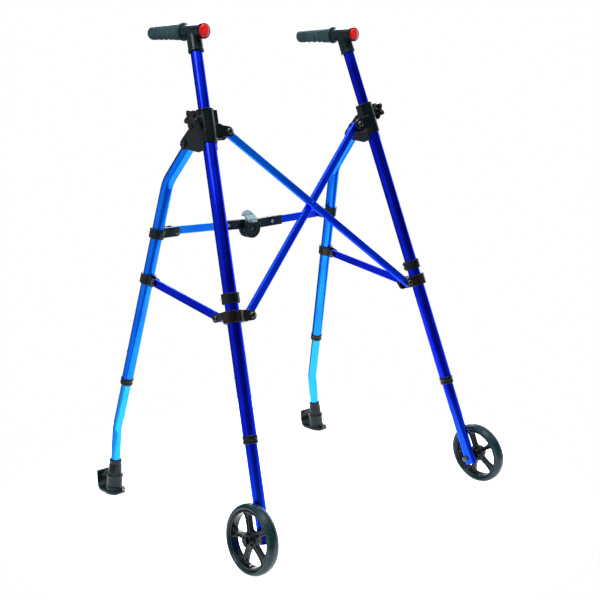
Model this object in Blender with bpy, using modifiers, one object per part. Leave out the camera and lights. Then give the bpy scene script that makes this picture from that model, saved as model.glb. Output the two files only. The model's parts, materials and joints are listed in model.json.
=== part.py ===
"""Folding walking frame: two splayed side frames, a scissor brace between the
front legs, a folding crossbar between the rear legs, wheels in front and skid
feet behind.  Metres, +Z up, +X is the user's left, +Y is towards the user."""

from math import atan, cos, radians, sin

import bmesh
import bpy
from mathutils import Matrix, Vector

# ---------------------------------------------------------------- dimensions
# Side frames.  Heights (z) are above the floor and y is measured from the
# wheel axle until the whole model is shifted to its origin.
LEG_X = 0.2868              # half the track of the leg axes at the floor
SPLAY = 0.10555             # how far a side frame leans in, per metre of height
LEG_Y = -0.0208             # front leg axis at the floor
RAKE = 0.33464              # how far a front leg leans back, per metre of height
GAP = 0.0003                # space between touching pieces

TUBE_R = 0.0125             # 25 mm front legs
TUBE_BORE = 0.0113
INNER_R = 0.0110            # 22 mm handle posts and front extensions
INNER_BORE = 0.0095
REAR_TUBE_R = 0.0113        # 22.6 mm rear legs
REAR_BORE = 0.0099
REAR_INNER_R = 0.0095       # 19 mm rear extensions
REAR_INNER_BORE = 0.0081
BUTTON_STAND = 0.0010       # how far a snap button stands out of its tube

# Heights along the front leg.
EXTENSION_END_Z = 0.047
EXTENSION_TOP_Z = 0.411
COLLAR_Z = 0.2186
BUTTON_Z = 0.321
STOP_COLLAR_Z = 0.455
MAIN_TOP_Z = 0.745
BRACKET_LOW_Z = 0.722
BRACKET_TOP_Z = 0.781
BRACKET_FLANGE_Z = 0.748
KNOB_Z = 0.763
POST_BOTTOM_Z = 0.640
TEE_BOTTOM_Z = 0.883
GRIP_Z = 0.920

# Scissor brace, in the plane of the front legs.
BRACE_TOP_Z = 0.7383
BRACE_TOP_X = 0.1683
SLIDER_Z = 0.4204
SLIDER_X = 0.2083
BAR_WIDTH = 0.016
BAR_THICK = 0.008
BAR_LAYER = 0.0046          # each brace bar's middle, off the common plane
PIN_R = 0.0030

# Rear leg, in the side plane (y, z).
REAR_PIVOT = (0.276, 0.7185)
REAR_ELBOW = (0.3420, 0.6447)
REAR_KNEE = (0.4749, 0.1320)
REAR_COLLAR_Z = 0.239
REAR_BUTTON_Z = 0.300
REAR_INNER_TOP_Z = 0.395
FERRULE_TOP_Z = 0.068
CROSS_BRACKET_Z = 0.5455
LINK_BRACKET_Z = 0.455
LINK_BRACKET_REACH = 0.024
SLIDER_EAR_REACH = 0.0397
SLIDER_EAR_RISE = 0.0044

# Crossbar and its hub.
CROSS_PIVOT_X = 0.192
CROSS_LAYER = 0.0052        # a crossbar half's middle, off the hub's lap
CROSS_THICK = 0.0054
CROSS_MIDDLE_Z = 0.5400     # the bars droop a little to the hub
LAP_RELIEF = 0.0012         # the hub halves stand clear of the lap, but for a boss
LAP_BOSS_R = 0.0090
HUB_Z = 0.532
HUB_R = 0.0205
HUB_DEPTH = 0.0112
BUTTON_SEAT_Y = 0.0062
ARM_REACH = 0.081

# Wheels, feet and grips.
WHEEL_R = 0.0625
TYRE_WIDTH = 0.022
WHEEL_OFFSET = 0.0270       # wheel's middle outboard of the leg axis
SKID_FRONT_Y = 0.4460
SKID_TAIL_Y = 0.5200
SKID_HALF_WIDTH = 0.0205
GRIP_FRONT_Y = 0.314
GRIP_END_Y = 0.420
REFLECTOR_Y = 0.2540

# Half of the tyre's section as (radius, width) points, and the axle height
# that stands the leaning wheel on the floor.
TYRE_SECTION = [(0.0523, 0.0085), (0.0560, 0.0110), (0.0598, 0.0098), (0.0619, 0.0055)]
LEAN = atan(SPLAY)
WHEEL_DROP = max(radius * cos(LEAN) + width * sin(LEAN)
                 for radius, width in [*TYRE_SECTION, (WHEEL_R, 0)])
AXLE_Z = WHEEL_DROP - WHEEL_OFFSET * sin(LEAN)

ORIGIN_Y = (SKID_TAIL_Y + LEG_Y + RAKE * AXLE_Z - WHEEL_R) / 2
ROUND = 16                  # facets round a tube
PIPE_LEVEL = 4              # a bent tube's facets, four round plus two each level

# ------------------------------------------------------------------- colours
NAVY = (0.004, 0.010, 0.260)
BLUE = (0.006, 0.045, 0.620)
SKY = (0.010, 0.200, 0.750)
BLACK = (0.010, 0.013, 0.015)
GREY = (0.055, 0.085, 0.090)
STEEL = (0.450, 0.450, 0.460)
RED = (0.700, 0.004, 0.006)

FINISHES = {
    "navy_tube": (NAVY, 0.22, 0.85),
    "blue_tube": (BLUE, 0.25, 0.80),
    "sky_tube": (SKY, 0.25, 0.80),
    "black_plastic": (BLACK, 0.38, 0.0),
    "grip_rubber": (GREY, 0.55, 0.0),
    "tyre_rubber": (BLACK, 0.60, 0.0),
    "steel": (STEEL, 0.25, 1.0),
    "red_lens": (RED, 0.12, 0.0),
}

# ---------------------------------------------------------------- directions
LEG_DIR = Vector((-SPLAY, RAKE, 1)).normalized()
OUT = Vector((1, 0, SPLAY)).normalized()            # away from the other side frame
BACK = LEG_DIR.cross(OUT)                           # in the side plane, square to the leg
FRONT_NORMAL = Vector((0, 1, -RAKE)).normalized()   # square to the brace, pointing back
INBOARD = LEG_DIR.cross(FRONT_NORMAL)               # in the brace's plane, to the middle
X_AXIS, Y_AXIS, Z_AXIS = Vector((1, 0, 0)), Vector((0, 1, 0)), Vector((0, 0, 1))


def leg_point(z):
    """A point on the left front leg's axis."""
    return Vector((LEG_X - SPLAY * z, LEG_Y + RAKE * z, z))


def side_point(y, z):
    """A point in the left side frame's plane."""
    return Vector((LEG_X - SPLAY * z, y, z))


def brace_point(x, z):
    """A point in the plane of the two front legs."""
    return Vector((x, LEG_Y + RAKE * z, z))


def frame_at(point, z_dir, x_dir):
    """A placement whose Z and X axes follow the given directions."""
    z_dir = z_dir.normalized()
    y_dir = z_dir.cross(x_dir).normalized()
    x_dir = y_dir.cross(z_dir)
    return Matrix.LocRotScale(point, Matrix((x_dir, y_dir, z_dir)).transposed(), None)


def on_leg(z):
    """Placement on the front leg: X outboard, Y back, Z up the leg."""
    return frame_at(leg_point(z), LEG_DIR, OUT)


def foot_on_leg(point):
    """The nearest point of the front leg's axis."""
    return leg_point(0) + LEG_DIR * (point - leg_point(0)).dot(LEG_DIR)


REAR_DIR = (side_point(*REAR_ELBOW) - side_point(*REAR_KNEE)).normalized()
KNEE_SLOPE = (REAR_KNEE[0] - REAR_ELBOW[0]) / (REAR_ELBOW[1] - REAR_KNEE[1])


def rear_point(z):
    """A point on the straight lower run of the left rear leg."""
    return side_point(REAR_ELBOW[0] + (REAR_ELBOW[1] - z) * KNEE_SLOPE, z)


def on_rear(z):
    """Placement on the rear leg: X outboard, Y back, Z up the leg."""
    return frame_at(rear_point(z), REAR_DIR, OUT)


# -------------------------------------------------------------- scene set-up
for old in list(bpy.data.objects):
    bpy.data.objects.remove(old, do_unlink=True)

PARTS = bpy.data.collections.new("walking_frame")
CUTTERS = bpy.data.collections.new("cutters")
for group in (PARTS, CUTTERS):
    bpy.context.scene.collection.children.link(group)


def make_materials():
    made = {}
    for name, (colour, roughness, metallic) in FINISHES.items():
        material = bpy.data.materials.new(name)
        material.use_nodes = True
        shader = material.node_tree.nodes["Principled BSDF"]
        shader.inputs["Base Color"].default_value = (*colour, 1)
        shader.inputs["Roughness"].default_value = roughness
        shader.inputs["Metallic"].default_value = metallic
        made[name] = material
    return made


MATERIALS = make_materials()


# ---------------------------------------------------------- solid primitives
def guide_object(data):
    """A working object: a shape that ends up in a part or cuts one."""
    obj = bpy.data.objects.new("guide", data)
    CUTTERS.objects.link(obj)
    obj.hide_render = True
    obj.display_type = 'WIRE'
    return obj


def from_bmesh(bm, placement):
    mesh = bpy.data.meshes.new("solid")
    bmesh.ops.recalc_face_normals(bm, faces=bm.faces)
    bm.to_mesh(mesh)
    bm.free()
    mesh.transform(placement)
    return guide_object(mesh)


def baked(obj, placement):
    """The evaluated object as a plain mesh, its loose caps welded."""
    bpy.context.view_layer.update()
    source = obj.evaluated_get(bpy.context.evaluated_depsgraph_get())
    mesh = bpy.data.meshes.new_from_object(source)
    bpy.data.objects.remove(obj, do_unlink=True)
    bm = bmesh.new()
    bm.from_mesh(mesh)
    bmesh.ops.remove_doubles(bm, verts=bm.verts, dist=1e-6)
    bpy.data.meshes.remove(mesh)
    return from_bmesh(bm, placement)


def rod(radius, low, high, placement, sides=ROUND):
    """A round bar along the placement's Z, from low to high."""
    bm = bmesh.new()
    bmesh.ops.create_cone(bm, cap_ends=True, segments=sides, radius1=radius, radius2=radius,
                          depth=high - low)
    bmesh.ops.translate(bm, verts=bm.verts, vec=(0, 0, (low + high) / 2))
    return from_bmesh(bm, placement)


def block(size, centre, placement, edge=0.0):
    """A box, its edges bevelled by edge."""
    bm = bmesh.new()
    bmesh.ops.create_cube(bm, size=1)
    bmesh.ops.scale(bm, verts=bm.verts, vec=size)
    bmesh.ops.translate(bm, verts=bm.verts, vec=centre)
    if edge:
        bmesh.ops.bevel(bm, geom=bm.edges, offset=edge, segments=1, affect='EDGES')
    return from_bmesh(bm, placement)


def turned(profile, placement, sides=ROUND):
    """A profile of (radius, height) points, run down its outer side, turned about Z."""
    mesh = bpy.data.meshes.new("profile")
    points = [(radius, 0, height) for radius, height in profile]
    closed = all(radius > 1e-6 for radius, _ in profile)
    edges = [(i, i + 1) for i in range(len(points) - 1)]
    if closed:
        edges.append((len(points) - 1, 0))
    mesh.from_pydata(points, edges, [])
    obj = guide_object(mesh)
    screw = obj.modifiers.new("turn", 'SCREW')
    screw.steps = screw.render_steps = sides
    screw.use_merge_vertices = True
    screw.merge_threshold = 1e-6
    return baked(obj, placement)


def sleeve(outer, inner, low, high, placement, sides=ROUND):
    """A plain ring or tube."""
    return turned([(outer, high), (outer, low), (inner, low), (inner, high)], placement, sides)


def plate(outline, thickness, placement):
    """A flat outline in the placement's XY plane, centred on it."""
    curve = bpy.data.curves.new("outline", 'CURVE')
    curve.dimensions = '2D'
    curve.fill_mode = 'BOTH'
    curve.extrude = thickness / 2
    spline = curve.splines.new('POLY')
    spline.points.add(len(outline) - 1)
    for point, (x, y) in zip(spline.points, outline):
        point.co = (x, y, 0, 1)
    spline.use_cyclic_u = True
    return baked(guide_object(curve), placement)


def piped(points, radius):
    """A round rod along a path of world points."""
    curve = bpy.data.curves.new("path", 'CURVE')
    curve.dimensions = '3D'
    curve.bevel_depth = radius
    curve.bevel_resolution = PIPE_LEVEL
    curve.use_fill_caps = True
    spline = curve.splines.new('POLY')
    spline.points.add(len(points) - 1)
    for point, place in zip(spline.points, points):
        point.co = (*place, 1)
    return baked(guide_object(curve), Matrix())


def arc(centre, radius, start, end, steps):
    """Points of a circular arc, angles in degrees."""
    return [(centre[0] + radius * cos(radians(start + (end - start) * i / steps)),
             centre[1] + radius * sin(radians(start + (end - start) * i / steps)))
            for i in range(steps + 1)]


def capsule(half_length, radius, steps=6):
    """A flat bar's outline with round ends, its end centres half_length out."""
    return (arc((half_length, 0), radius, -90, 90, steps)
            + arc((-half_length, 0), radius, 90, 270, steps))


def lug(reach, radius, root, steps=5):
    """An ear's outline: straight sides from the origin to a round end at +X."""
    return [(0, root), (0, -root)] + arc((reach, 0), radius, -90, 90, steps)


def combine(target, tools, operation):
    for tool in tools:
        modifier = target.modifiers.new("combine", 'BOOLEAN')
        modifier.operation = operation
        modifier.solver = 'EXACT'
        modifier.object = tool
    result = baked(target, Matrix())
    for tool in tools:
        bpy.data.objects.remove(tool, do_unlink=True)
    return result


def joined(first, *others):
    return combine(first, others, 'UNION')


def cut(first, *others):
    return combine(first, others, 'DIFFERENCE')


def common(first, *others):
    return combine(first, others, 'INTERSECT')


def filleted(corners, radius, steps=4):
    """A path through corners with its middle corners rounded."""
    path = [corners[0]]
    for before, corner, after in zip(corners, corners[1:], corners[2:]):
        way_in, way_out = (before - corner).normalized(), (after - corner).normalized()
        half = way_in.angle(way_out) / 2
        reach = radius / (sin(half) / cos(half))
        middle = (way_in + way_out).normalized()
        centre = corner + middle * (radius / sin(half))
        first = (corner + way_in * reach - centre).normalized()
        last = (corner + way_out * reach - centre).normalized()
        path += [centre + first.slerp(last, i / steps) * radius for i in range(steps + 1)]
    path.append(corners[-1])
    return path


# ------------------------------------------------------------ bodies and nodes
ORIGIN = bpy.data.objects.new("frame_origin", None)
ORIGIN.location = (0, -ORIGIN_Y, 0)
PARTS.objects.link(ORIGIN)
BODIES = {}


def body(name, parent, point):
    """An empty on the body's joint axis; the body's nodes hang from it."""
    empty = bpy.data.objects.new(name + "_joint", None)
    empty.empty_display_size = 0.02
    holder = BODIES[parent] if parent else ORIGIN
    empty.parent = holder
    empty.location = point - (Vector(holder["point"]) if parent else Vector())
    empty["point"] = point
    PARTS.objects.link(empty)
    BODIES[name] = empty


def body_point(name):
    return Vector(BODIES[name]["point"])


def node(name, solid, body_name, material):
    """Turn a working solid into a named part of a body."""
    mesh = solid.data
    bpy.data.objects.remove(solid, do_unlink=True)
    mesh.name = name
    mesh.transform(Matrix.Translation(-body_point(body_name)))
    mesh.materials.clear()
    mesh.materials.append(MATERIALS[material])
    mesh.shade_smooth()
    mesh.set_sharp_from_angle(angle=radians(35))
    obj = bpy.data.objects.new(name, mesh)
    obj.parent = BODIES[body_name]
    PARTS.objects.link(obj)
    return obj


def mirrored(solid):
    """A copy on the other side of the frame's middle plane."""
    mesh = solid.data.copy()
    mesh.transform(Matrix.Diagonal((-1, 1, 1, 1)))
    mesh.flip_normals()
    return guide_object(mesh)


def pair(name, solid, body_name, material):
    """The left piece and its mirrored right twin."""
    twin = mirrored(solid)
    node("left_" + name, solid, "left_" + body_name, material)
    node("right_" + name, twin, "right_" + body_name, material)


# ------------------------------------------------------------- shared places
BUTTON_DIR = (OUT + BACK).normalized()
REAR_BUTTON_DIR = (OUT + REAR_DIR.cross(OUT)).normalized()
BRACE_TOP = brace_point(BRACE_TOP_X, BRACE_TOP_Z)
SLIDER_PIN = brace_point(SLIDER_X, SLIDER_Z)


def flip(point):
    return Vector((-point.x, point.y, point.z))


BRACE_RUN = flip(SLIDER_PIN) - BRACE_TOP
BRACE_CENTRE = BRACE_TOP + BRACE_RUN * (BRACE_TOP_X / (BRACE_TOP_X + SLIDER_X))
SLIDER_FOOT = foot_on_leg(SLIDER_PIN)
SLIDER_EAR = SLIDER_FOOT + BACK * SLIDER_EAR_REACH + LEG_DIR * SLIDER_EAR_RISE
LINK_PIN = rear_point(LINK_BRACKET_Z) - REAR_DIR.cross(OUT) * LINK_BRACKET_REACH
REAR_PIN = side_point(*REAR_PIVOT)
CROSS_Y = rear_point(CROSS_BRACKET_Z).y
CROSS_PIN = Vector((CROSS_PIVOT_X, CROSS_Y, CROSS_BRACKET_Z))
HUB = Vector((0, CROSS_Y, HUB_Z))
AXLE = leg_point(AXLE_Z)


def make_bodies():
    body("left_frame", None, leg_point(COLLAR_Z))
    body("back_brace", "left_frame", BRACE_TOP)
    body("front_brace", "back_brace", BRACE_CENTRE)
    body("right_frame", "front_brace", flip(BRACE_TOP))
    body("left_slider", "front_brace", SLIDER_PIN)
    body("right_slider", "back_brace", flip(SLIDER_PIN))
    for side, turn in (("left_", Vector), ("right_", flip)):
        body(side + "handle", side + "frame", turn(leg_point(TEE_BOTTOM_Z)))
        body(side + "knob", side + "frame", turn(leg_point(KNOB_Z)))
        body(side + "front_extension", side + "frame", turn(leg_point(BUTTON_Z)))
        body(side + "front_button", side + "frame", turn(leg_point(BUTTON_Z)))
        body(side + "wheel", side + "front_extension", turn(AXLE))
        body(side + "rear_leg", side + "frame", turn(REAR_PIN))
        body(side + "rear_extension", side + "rear_leg", turn(rear_point(REAR_BUTTON_Z)))
        body(side + "rear_button", side + "rear_leg", turn(rear_point(REAR_BUTTON_Z)))
        body(side + "side_link", side + "rear_leg", turn(LINK_PIN))
        body(side + "crossbar", side + "rear_leg", turn(CROSS_PIN))
    body("release_button", "right_crossbar", HUB + Vector((0, BUTTON_SEAT_Y, HUB_R)))


# ----------------------------------------------------------------- small parts
PIN_HOLE_R = PIN_R + GAP
CLEVIS = 0.0092             # half the slot of the wide clevises
CHEEK = 0.0035
RING_WALL = 0.0038          # plastic rings on the tubes
RING_BORE = TUBE_R + GAP
REAR_RING_BORE = REAR_TUBE_R + GAP
SPRING_PIN_R = 0.0030


def pin_profile(half_grip, radius, head_r, head):
    """A headed pin that grips between -half_grip and +half_grip."""
    rim = half_grip + head
    return [(0, rim), (head_r * 0.8, rim), (head_r, rim - head * 0.3), (head_r, half_grip),
            (radius, half_grip), (radius, -half_grip), (head_r, -half_grip),
            (head_r, -rim + head * 0.3), (head_r * 0.8, -rim), (0, -rim)]


def headed_pin(point, axis, across, half_grip, radius=PIN_R, head_r=0.0065, head=0.0038):
    return turned(pin_profile(half_grip, radius, head_r, head),
                  frame_at(point, axis, across), 8)


def cheeks(point, axis, along, slot, reach, radius, root):
    """The two ears of a clevis, slot apart, reaching along a direction."""
    offset = slot + CHEEK / 2
    outline = lug(reach, radius, root)
    return [plate(outline, CHEEK, frame_at(point + axis * side * offset, axis, along))
            for side in (-1, 1)]


def collar_profile(height, tube_r, inner_r):
    """The end collar: it grips the outer tube and closes in on the inner one."""
    lip, outer = tube_r + 0.0006, tube_r + 0.0014
    return [(lip, height + 0.0075), (outer, height + 0.0062), (outer, height - 0.0062),
            (lip, height - 0.0075), (inner_r + GAP, height - 0.0075),
            (inner_r + GAP, height - 0.0045), (tube_r + GAP, height - 0.0045),
            (tube_r + GAP, height + 0.0075)]


def hole(point, axis, radius, low, high, sides=8):
    """A cutter for a round hole, its flats at the given radius."""
    across = X_AXIS if abs(axis.x) < 0.9 else Y_AXIS
    return rod(radius / cos(radians(180 / sides)), low, high, frame_at(point, axis, across),
               sides)


# --------------------------------------------------------- front leg and wheel
LEG = on_leg(0)
LEG_LENGTH = (leg_point(1) - leg_point(0)).length
SLIDE_TRAVEL = 0.075        # how far each leg extension pulls out
SPARE_HOLE_STEP = 0.0245


def rise(z):
    """Distance up the front leg's axis to height z."""
    return z * LEG_LENGTH


def front_leg_tube():
    tube = sleeve(TUBE_R, TUBE_BORE, rise(COLLAR_Z) - 0.0042, rise(MAIN_TOP_Z), LEG)
    spare = leg_point(BUTTON_Z) - LEG_DIR * SPARE_HOLE_STEP
    return cut(tube, *(hole(point, BUTTON_DIR, SPRING_PIN_R + GAP, 0.004, 0.02)
                       for point in (leg_point(BUTTON_Z), spare)))


def button_slot(placement, centre):
    """A cutter for the slot that the spring button rides in, along an inner tube."""
    wide = 2 * (SPRING_PIN_R + 2 * GAP)
    length = SLIDE_TRAVEL + wide
    return block((0.012, wide, length), (0.008, 0, centre + SLIDE_TRAVEL / 2), placement)


def front_leg_extension():
    tube = sleeve(INNER_R, INNER_BORE, rise(EXTENSION_END_Z), rise(EXTENSION_TOP_Z), LEG)
    slot = button_slot(frame_at(leg_point(0), LEG_DIR, BUTTON_DIR), rise(BUTTON_Z))
    return cut(tube, hole(AXLE, OUT, 0.0043, -0.02, 0.02), slot)


def spring_button(point, direction, along, tube_r):
    """A snap button: a domed pin that stands through the tube walls."""
    tip = tube_r + BUTTON_STAND
    profile = [(0, tip), (0.0018, tip - 0.0003), (SPRING_PIN_R, tip - 0.0012),
               (SPRING_PIN_R, 0.0035), (0, 0.0035)]
    return turned(profile, frame_at(point, direction, along), 8)


def axle_bolt():
    wall = INNER_R + GAP
    profile = [(0, 0.0465), (0.0045, 0.0465), (0.0065, 0.0445), (0.0065, 0.0415),
               (0.0040, 0.0415), (0.0040, 0.0130), (0.0062, 0.0130), (0.0062, wall),
               (0.0040, wall), (0.0040, -wall), (0.0068, -wall), (0.0068, -0.0160),
               (0.0050, -0.0175), (0, -0.0175)]
    return turned(profile, frame_at(AXLE, OUT, BACK), 8)


def wheel_placement():
    return frame_at(AXLE + OUT * WHEEL_OFFSET, OUT, BACK)


def tyre():
    lower = [(radius, -width) for radius, width in reversed(TYRE_SECTION)]
    return turned([*TYRE_SECTION, (WHEEL_R, 0), *lower], wheel_placement(), 28)


SPOKES = 5
RIM_SEAT = TYRE_SECTION[0][0] - GAP


def wheel_rim():
    """A moulded rim: hub, five tapering spokes and a felloe."""
    place = wheel_placement()
    felloe = turned([(RIM_SEAT - 0.004, 0.0090), (RIM_SEAT, 0.0080), (RIM_SEAT, -0.0080),
                     (RIM_SEAT - 0.004, -0.0090)], place, 28)
    hub = rod(0.0125, -0.0137, 0.0137, place, 15)
    spokes = []
    for index in range(SPOKES):
        outline = [(0.008, -0.0045), (0.0500, -0.0075), (0.0500, 0.0075), (0.008, 0.0045)]
        turn = Matrix.Rotation(radians(360 / SPOKES * index + 90), 4, 'Z')
        spokes.append(plate(outline, 0.0100, place @ turn))
    wheel = joined(felloe, hub, *spokes)
    return cut(wheel, rod(0.0046, -0.03, 0.03, place, 8))


def make_front_leg():
    pair("front_leg_tube", front_leg_tube(), "frame", "navy_tube")
    pair("front_leg_collar", turned(collar_profile(rise(COLLAR_Z), TUBE_R, INNER_R), LEG), "frame",
         "black_plastic")
    pair("front_leg_extension", front_leg_extension(), "front_extension", "navy_tube")
    pair("front_snap_button", spring_button(leg_point(BUTTON_Z), BUTTON_DIR, LEG_DIR, TUBE_R),
         "front_button", "steel")
    pair("axle_bolt", axle_bolt(), "front_extension", "black_plastic")
    pair("tyre", tyre(), "wheel", "tyre_rubber")
    pair("wheel_rim", wheel_rim(), "wheel", "black_plastic")


# -------------------------------------------------- handle, bracket and knob
def handle_post():
    return sleeve(INNER_R, INNER_BORE, rise(POST_BOTTOM_Z), rise(GRIP_Z) - 0.006, LEG)


GRIP_AXIS = leg_point(GRIP_Z)


def along_grip(y):
    """Placement on the grip's axis at y, Z towards the user."""
    return frame_at(Vector((GRIP_AXIS.x, y, GRIP_Z)), Y_AXIS, X_AXIS)


def handle_tee():
    """The moulded tee: a barrel for the grip and reflector on a socket for the post."""
    length = GRIP_FRONT_Y - REFLECTOR_Y
    barrel = rod(0.0120, 0.0062, length, along_grip(REFLECTOR_Y), 16)
    core = rod(0.0090, length - 0.002, GRIP_END_Y - REFLECTOR_Y - 0.009,
               along_grip(REFLECTOR_Y), 14)
    socket = rod(0.0141, rise(TEE_BOTTOM_Z), rise(GRIP_Z), LEG)
    screw = rod(0.0035, 0.0125, 0.0172,
                frame_at(leg_point(TEE_BOTTOM_Z + 0.012), BACK, LEG_DIR), 8)
    tee = joined(barrel, core, socket, screw)
    return cut(tee, rod(INNER_R + GAP, rise(TEE_BOTTOM_Z) - 0.01, rise(GRIP_Z) - 0.0057, LEG))


def grip():
    length = GRIP_END_Y - GRIP_FRONT_Y - 0.0005
    profile = [(0, 0), (0.0100, -0.0004), (0.0132, -0.0020), (0.0148, -0.0055),
               (0.0152, -0.030), (0.0146, -0.058), (0.0150, -0.082), (0.0152, 0.0045 - length),
               (0.0165, 0.0035 - length), (0.0165, -length), (0.0093, -length),
               (0.0093, -0.0085), (0, -0.0085)]
    return turned(profile, along_grip(GRIP_END_Y), 14)


def reflector():
    profile = [(0, -0.0030), (0.0060, -0.0026), (0.0105, -0.0012), (0.0130, 0.0005),
               (0.0140, 0.0012), (0.0140, 0.0058), (0, 0.0058)]
    return turned(list(reversed(profile)), along_grip(REFLECTOR_Y), 16)


def star(lobes, tip, waist, steps=3):
    """A lobed knob's outline."""
    points = []
    for index in range(lobes * steps * 2):
        angle = 360 * index / (lobes * steps * 2)
        wave = (1 + cos(radians(angle * lobes))) / 2
        points.append(arc((0, 0), waist + (tip - waist) * wave ** 0.7, angle, angle, 1)[0])
    return points


def clamp_knob():
    place = frame_at(leg_point(KNOB_Z), OUT, BACK)
    star_place = frame_at(leg_point(KNOB_Z) + OUT * 0.0325, OUT, BACK)
    return joined(plate(star(5, 0.0180, 0.0105), 0.0085, star_place),
                  rod(0.0088, 0.0216, 0.0310, place, 12),
                  rod(PIN_R, INNER_R + GAP, 0.0225, place, 8))


BRACE_FOOT = foot_on_leg(BRACE_TOP)
REAR_CHEEK = REAR_TUBE_R + 2 * GAP
REAR_PIN_R = 0.0040


def rear_cheek_outline():
    """The broad six-sided plate that runs back from the leg to the rear pivot."""
    away = REAR_PIN - BRACE_FOOT
    pin = (away.dot(BACK), away.dot(LEG_DIR))
    return [(-0.004, -0.034), (0.016, -0.034), *arc(pin, 0.0135, -105, 62, 4),
            (0.016, 0.024), (-0.004, 0.024)]


def clamp_bracket():
    """One moulding: a socket for leg and post, the rear pivot's cheeks, the brace's ear."""
    low, high = rise(BRACKET_LOW_Z), rise(BRACKET_TOP_Z)
    parts = [rod(0.0160, low, high, LEG)]
    for side in (-1, 1):
        offset = OUT * side * (REAR_CHEEK + CHEEK / 2)
        parts.append(plate(rear_cheek_outline(), CHEEK, frame_at(BRACE_FOOT + offset, OUT, BACK)))
    across = 2 * (REAR_CHEEK + CHEEK)
    foot = frame_at(BRACE_FOOT, LEG_DIR, OUT)
    parts.append(block((across, 0.016, 0.038), (0, 0.014, -0.001), foot))
    reach = (BRACE_TOP - BRACE_FOOT).length
    parts += cheeks(BRACE_FOOT, FRONT_NORMAL, INBOARD, CLEVIS, reach, 0.0100, 0.0140)
    ear = frame_at(BRACE_FOOT, LEG_DIR, INBOARD)
    parts.append(block((0.016, 2 * (CLEVIS + CHEEK) - GAP, 0.028), (0.017, 0, 0), ear))
    knob = frame_at(leg_point(KNOB_Z), OUT, BACK)
    parts.append(rod(0.0080, -0.0185, 0.0210, knob, 10))
    flange_low, flange_high = rise(BRACKET_FLANGE_Z), high - 0.001
    parts.append(block((0.0085, 0.0170, flange_high - flange_low),
                       (-0.0160, -0.0030, (flange_low + flange_high) / 2), LEG))
    bracket = joined(*parts)
    return cut(bracket,
               rod(RING_BORE, low - 0.04, rise(MAIN_TOP_Z) + GAP, LEG),
               rod(INNER_R + GAP, low, high + 0.01, LEG),
               rod(PIN_HOLE_R, 0.005, 0.03, knob, 8),
               hole(BRACE_TOP, FRONT_NORMAL, PIN_HOLE_R, -0.02, 0.02),
               hole(REAR_PIN, OUT, REAR_PIN_R + GAP, -0.03, 0.03))


def make_handle():
    pair("handle_post", handle_post(), "handle", "navy_tube")
    pair("handle_tee", handle_tee(), "handle", "black_plastic")
    pair("grip", grip(), "handle", "grip_rubber")
    pair("reflector", reflector(), "handle", "red_lens")
    pair("clamp_bracket", clamp_bracket(), "frame", "black_plastic")
    pair("clamp_knob", clamp_knob(), "knob", "black_plastic")
    pair("brace_bolt", headed_pin(BRACE_TOP, FRONT_NORMAL, INBOARD, CLEVIS + CHEEK + GAP),
         "frame", "black_plastic")
    pair("rear_pivot_bolt", headed_pin(REAR_PIN, OUT, BACK, REAR_CHEEK + CHEEK + GAP,
                                       REAR_PIN_R, 0.0078, 0.0048), "frame", "black_plastic")


# ------------------------------------------------------------ rear leg and foot
REAR = on_rear(0)
REAR_LENGTH = (rear_point(1) - rear_point(0)).length
REAR_BACK = REAR_DIR.cross(OUT)
FOOT_DIR = (side_point(0, 1) - side_point(0, 0)).normalized()
FOOT = frame_at(side_point(REAR_KNEE[0], 0), FOOT_DIR, OUT)


def rear_rise(z):
    """Distance up the rear leg's straight run to height z."""
    return z * REAR_LENGTH


def hollow_pipe(corners, fillet, outer, bore):
    """A bent tube; the bore runs out past both ends."""
    path = filleted(corners, fillet)
    out_first = (path[0] - path[1]).normalized() * 0.002
    out_last = (path[-1] - path[-2]).normalized() * 0.002
    core = [path[0] + out_first, *path[1:-1], path[-1] + out_last]
    return cut(piped(path, outer), piped(core, bore))


def rear_leg_tube():
    elbow = side_point(*REAR_ELBOW)
    top = REAR_PIN + (REAR_PIN - elbow).normalized() * 0.0110
    bottom = rear_point(REAR_COLLAR_Z) - REAR_DIR * 0.0042
    tube = hollow_pipe([top, elbow, bottom], 0.060, REAR_TUBE_R, REAR_BORE)
    button = hole(rear_point(REAR_BUTTON_Z), REAR_BUTTON_DIR, SPRING_PIN_R + GAP, 0.004, 0.02)
    return cut(tube, hole(REAR_PIN, OUT, REAR_PIN_R + GAP, -0.02, 0.02), button)


def rear_leg_extension():
    knee = side_point(*REAR_KNEE)
    end = side_point(REAR_KNEE[0], 0) + FOOT_DIR * 0.0130
    tube = hollow_pipe([rear_point(REAR_INNER_TOP_Z), knee, end], 0.050, REAR_INNER_R,
                       REAR_INNER_BORE)
    slot = button_slot(frame_at(rear_point(0), REAR_DIR, REAR_BUTTON_DIR),
                       rear_rise(REAR_BUTTON_Z))
    return cut(tube, slot)


def foot_ferrule():
    profile = [(0, 0.0125), (REAR_INNER_R + GAP, 0.0125), (REAR_INNER_R + GAP, FERRULE_TOP_Z),
               (0.0128, FERRULE_TOP_Z), (0.0146, 0.0370), (0.0146, 0.0095), (0, 0.0095)]
    return turned(profile, FOOT)


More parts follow.
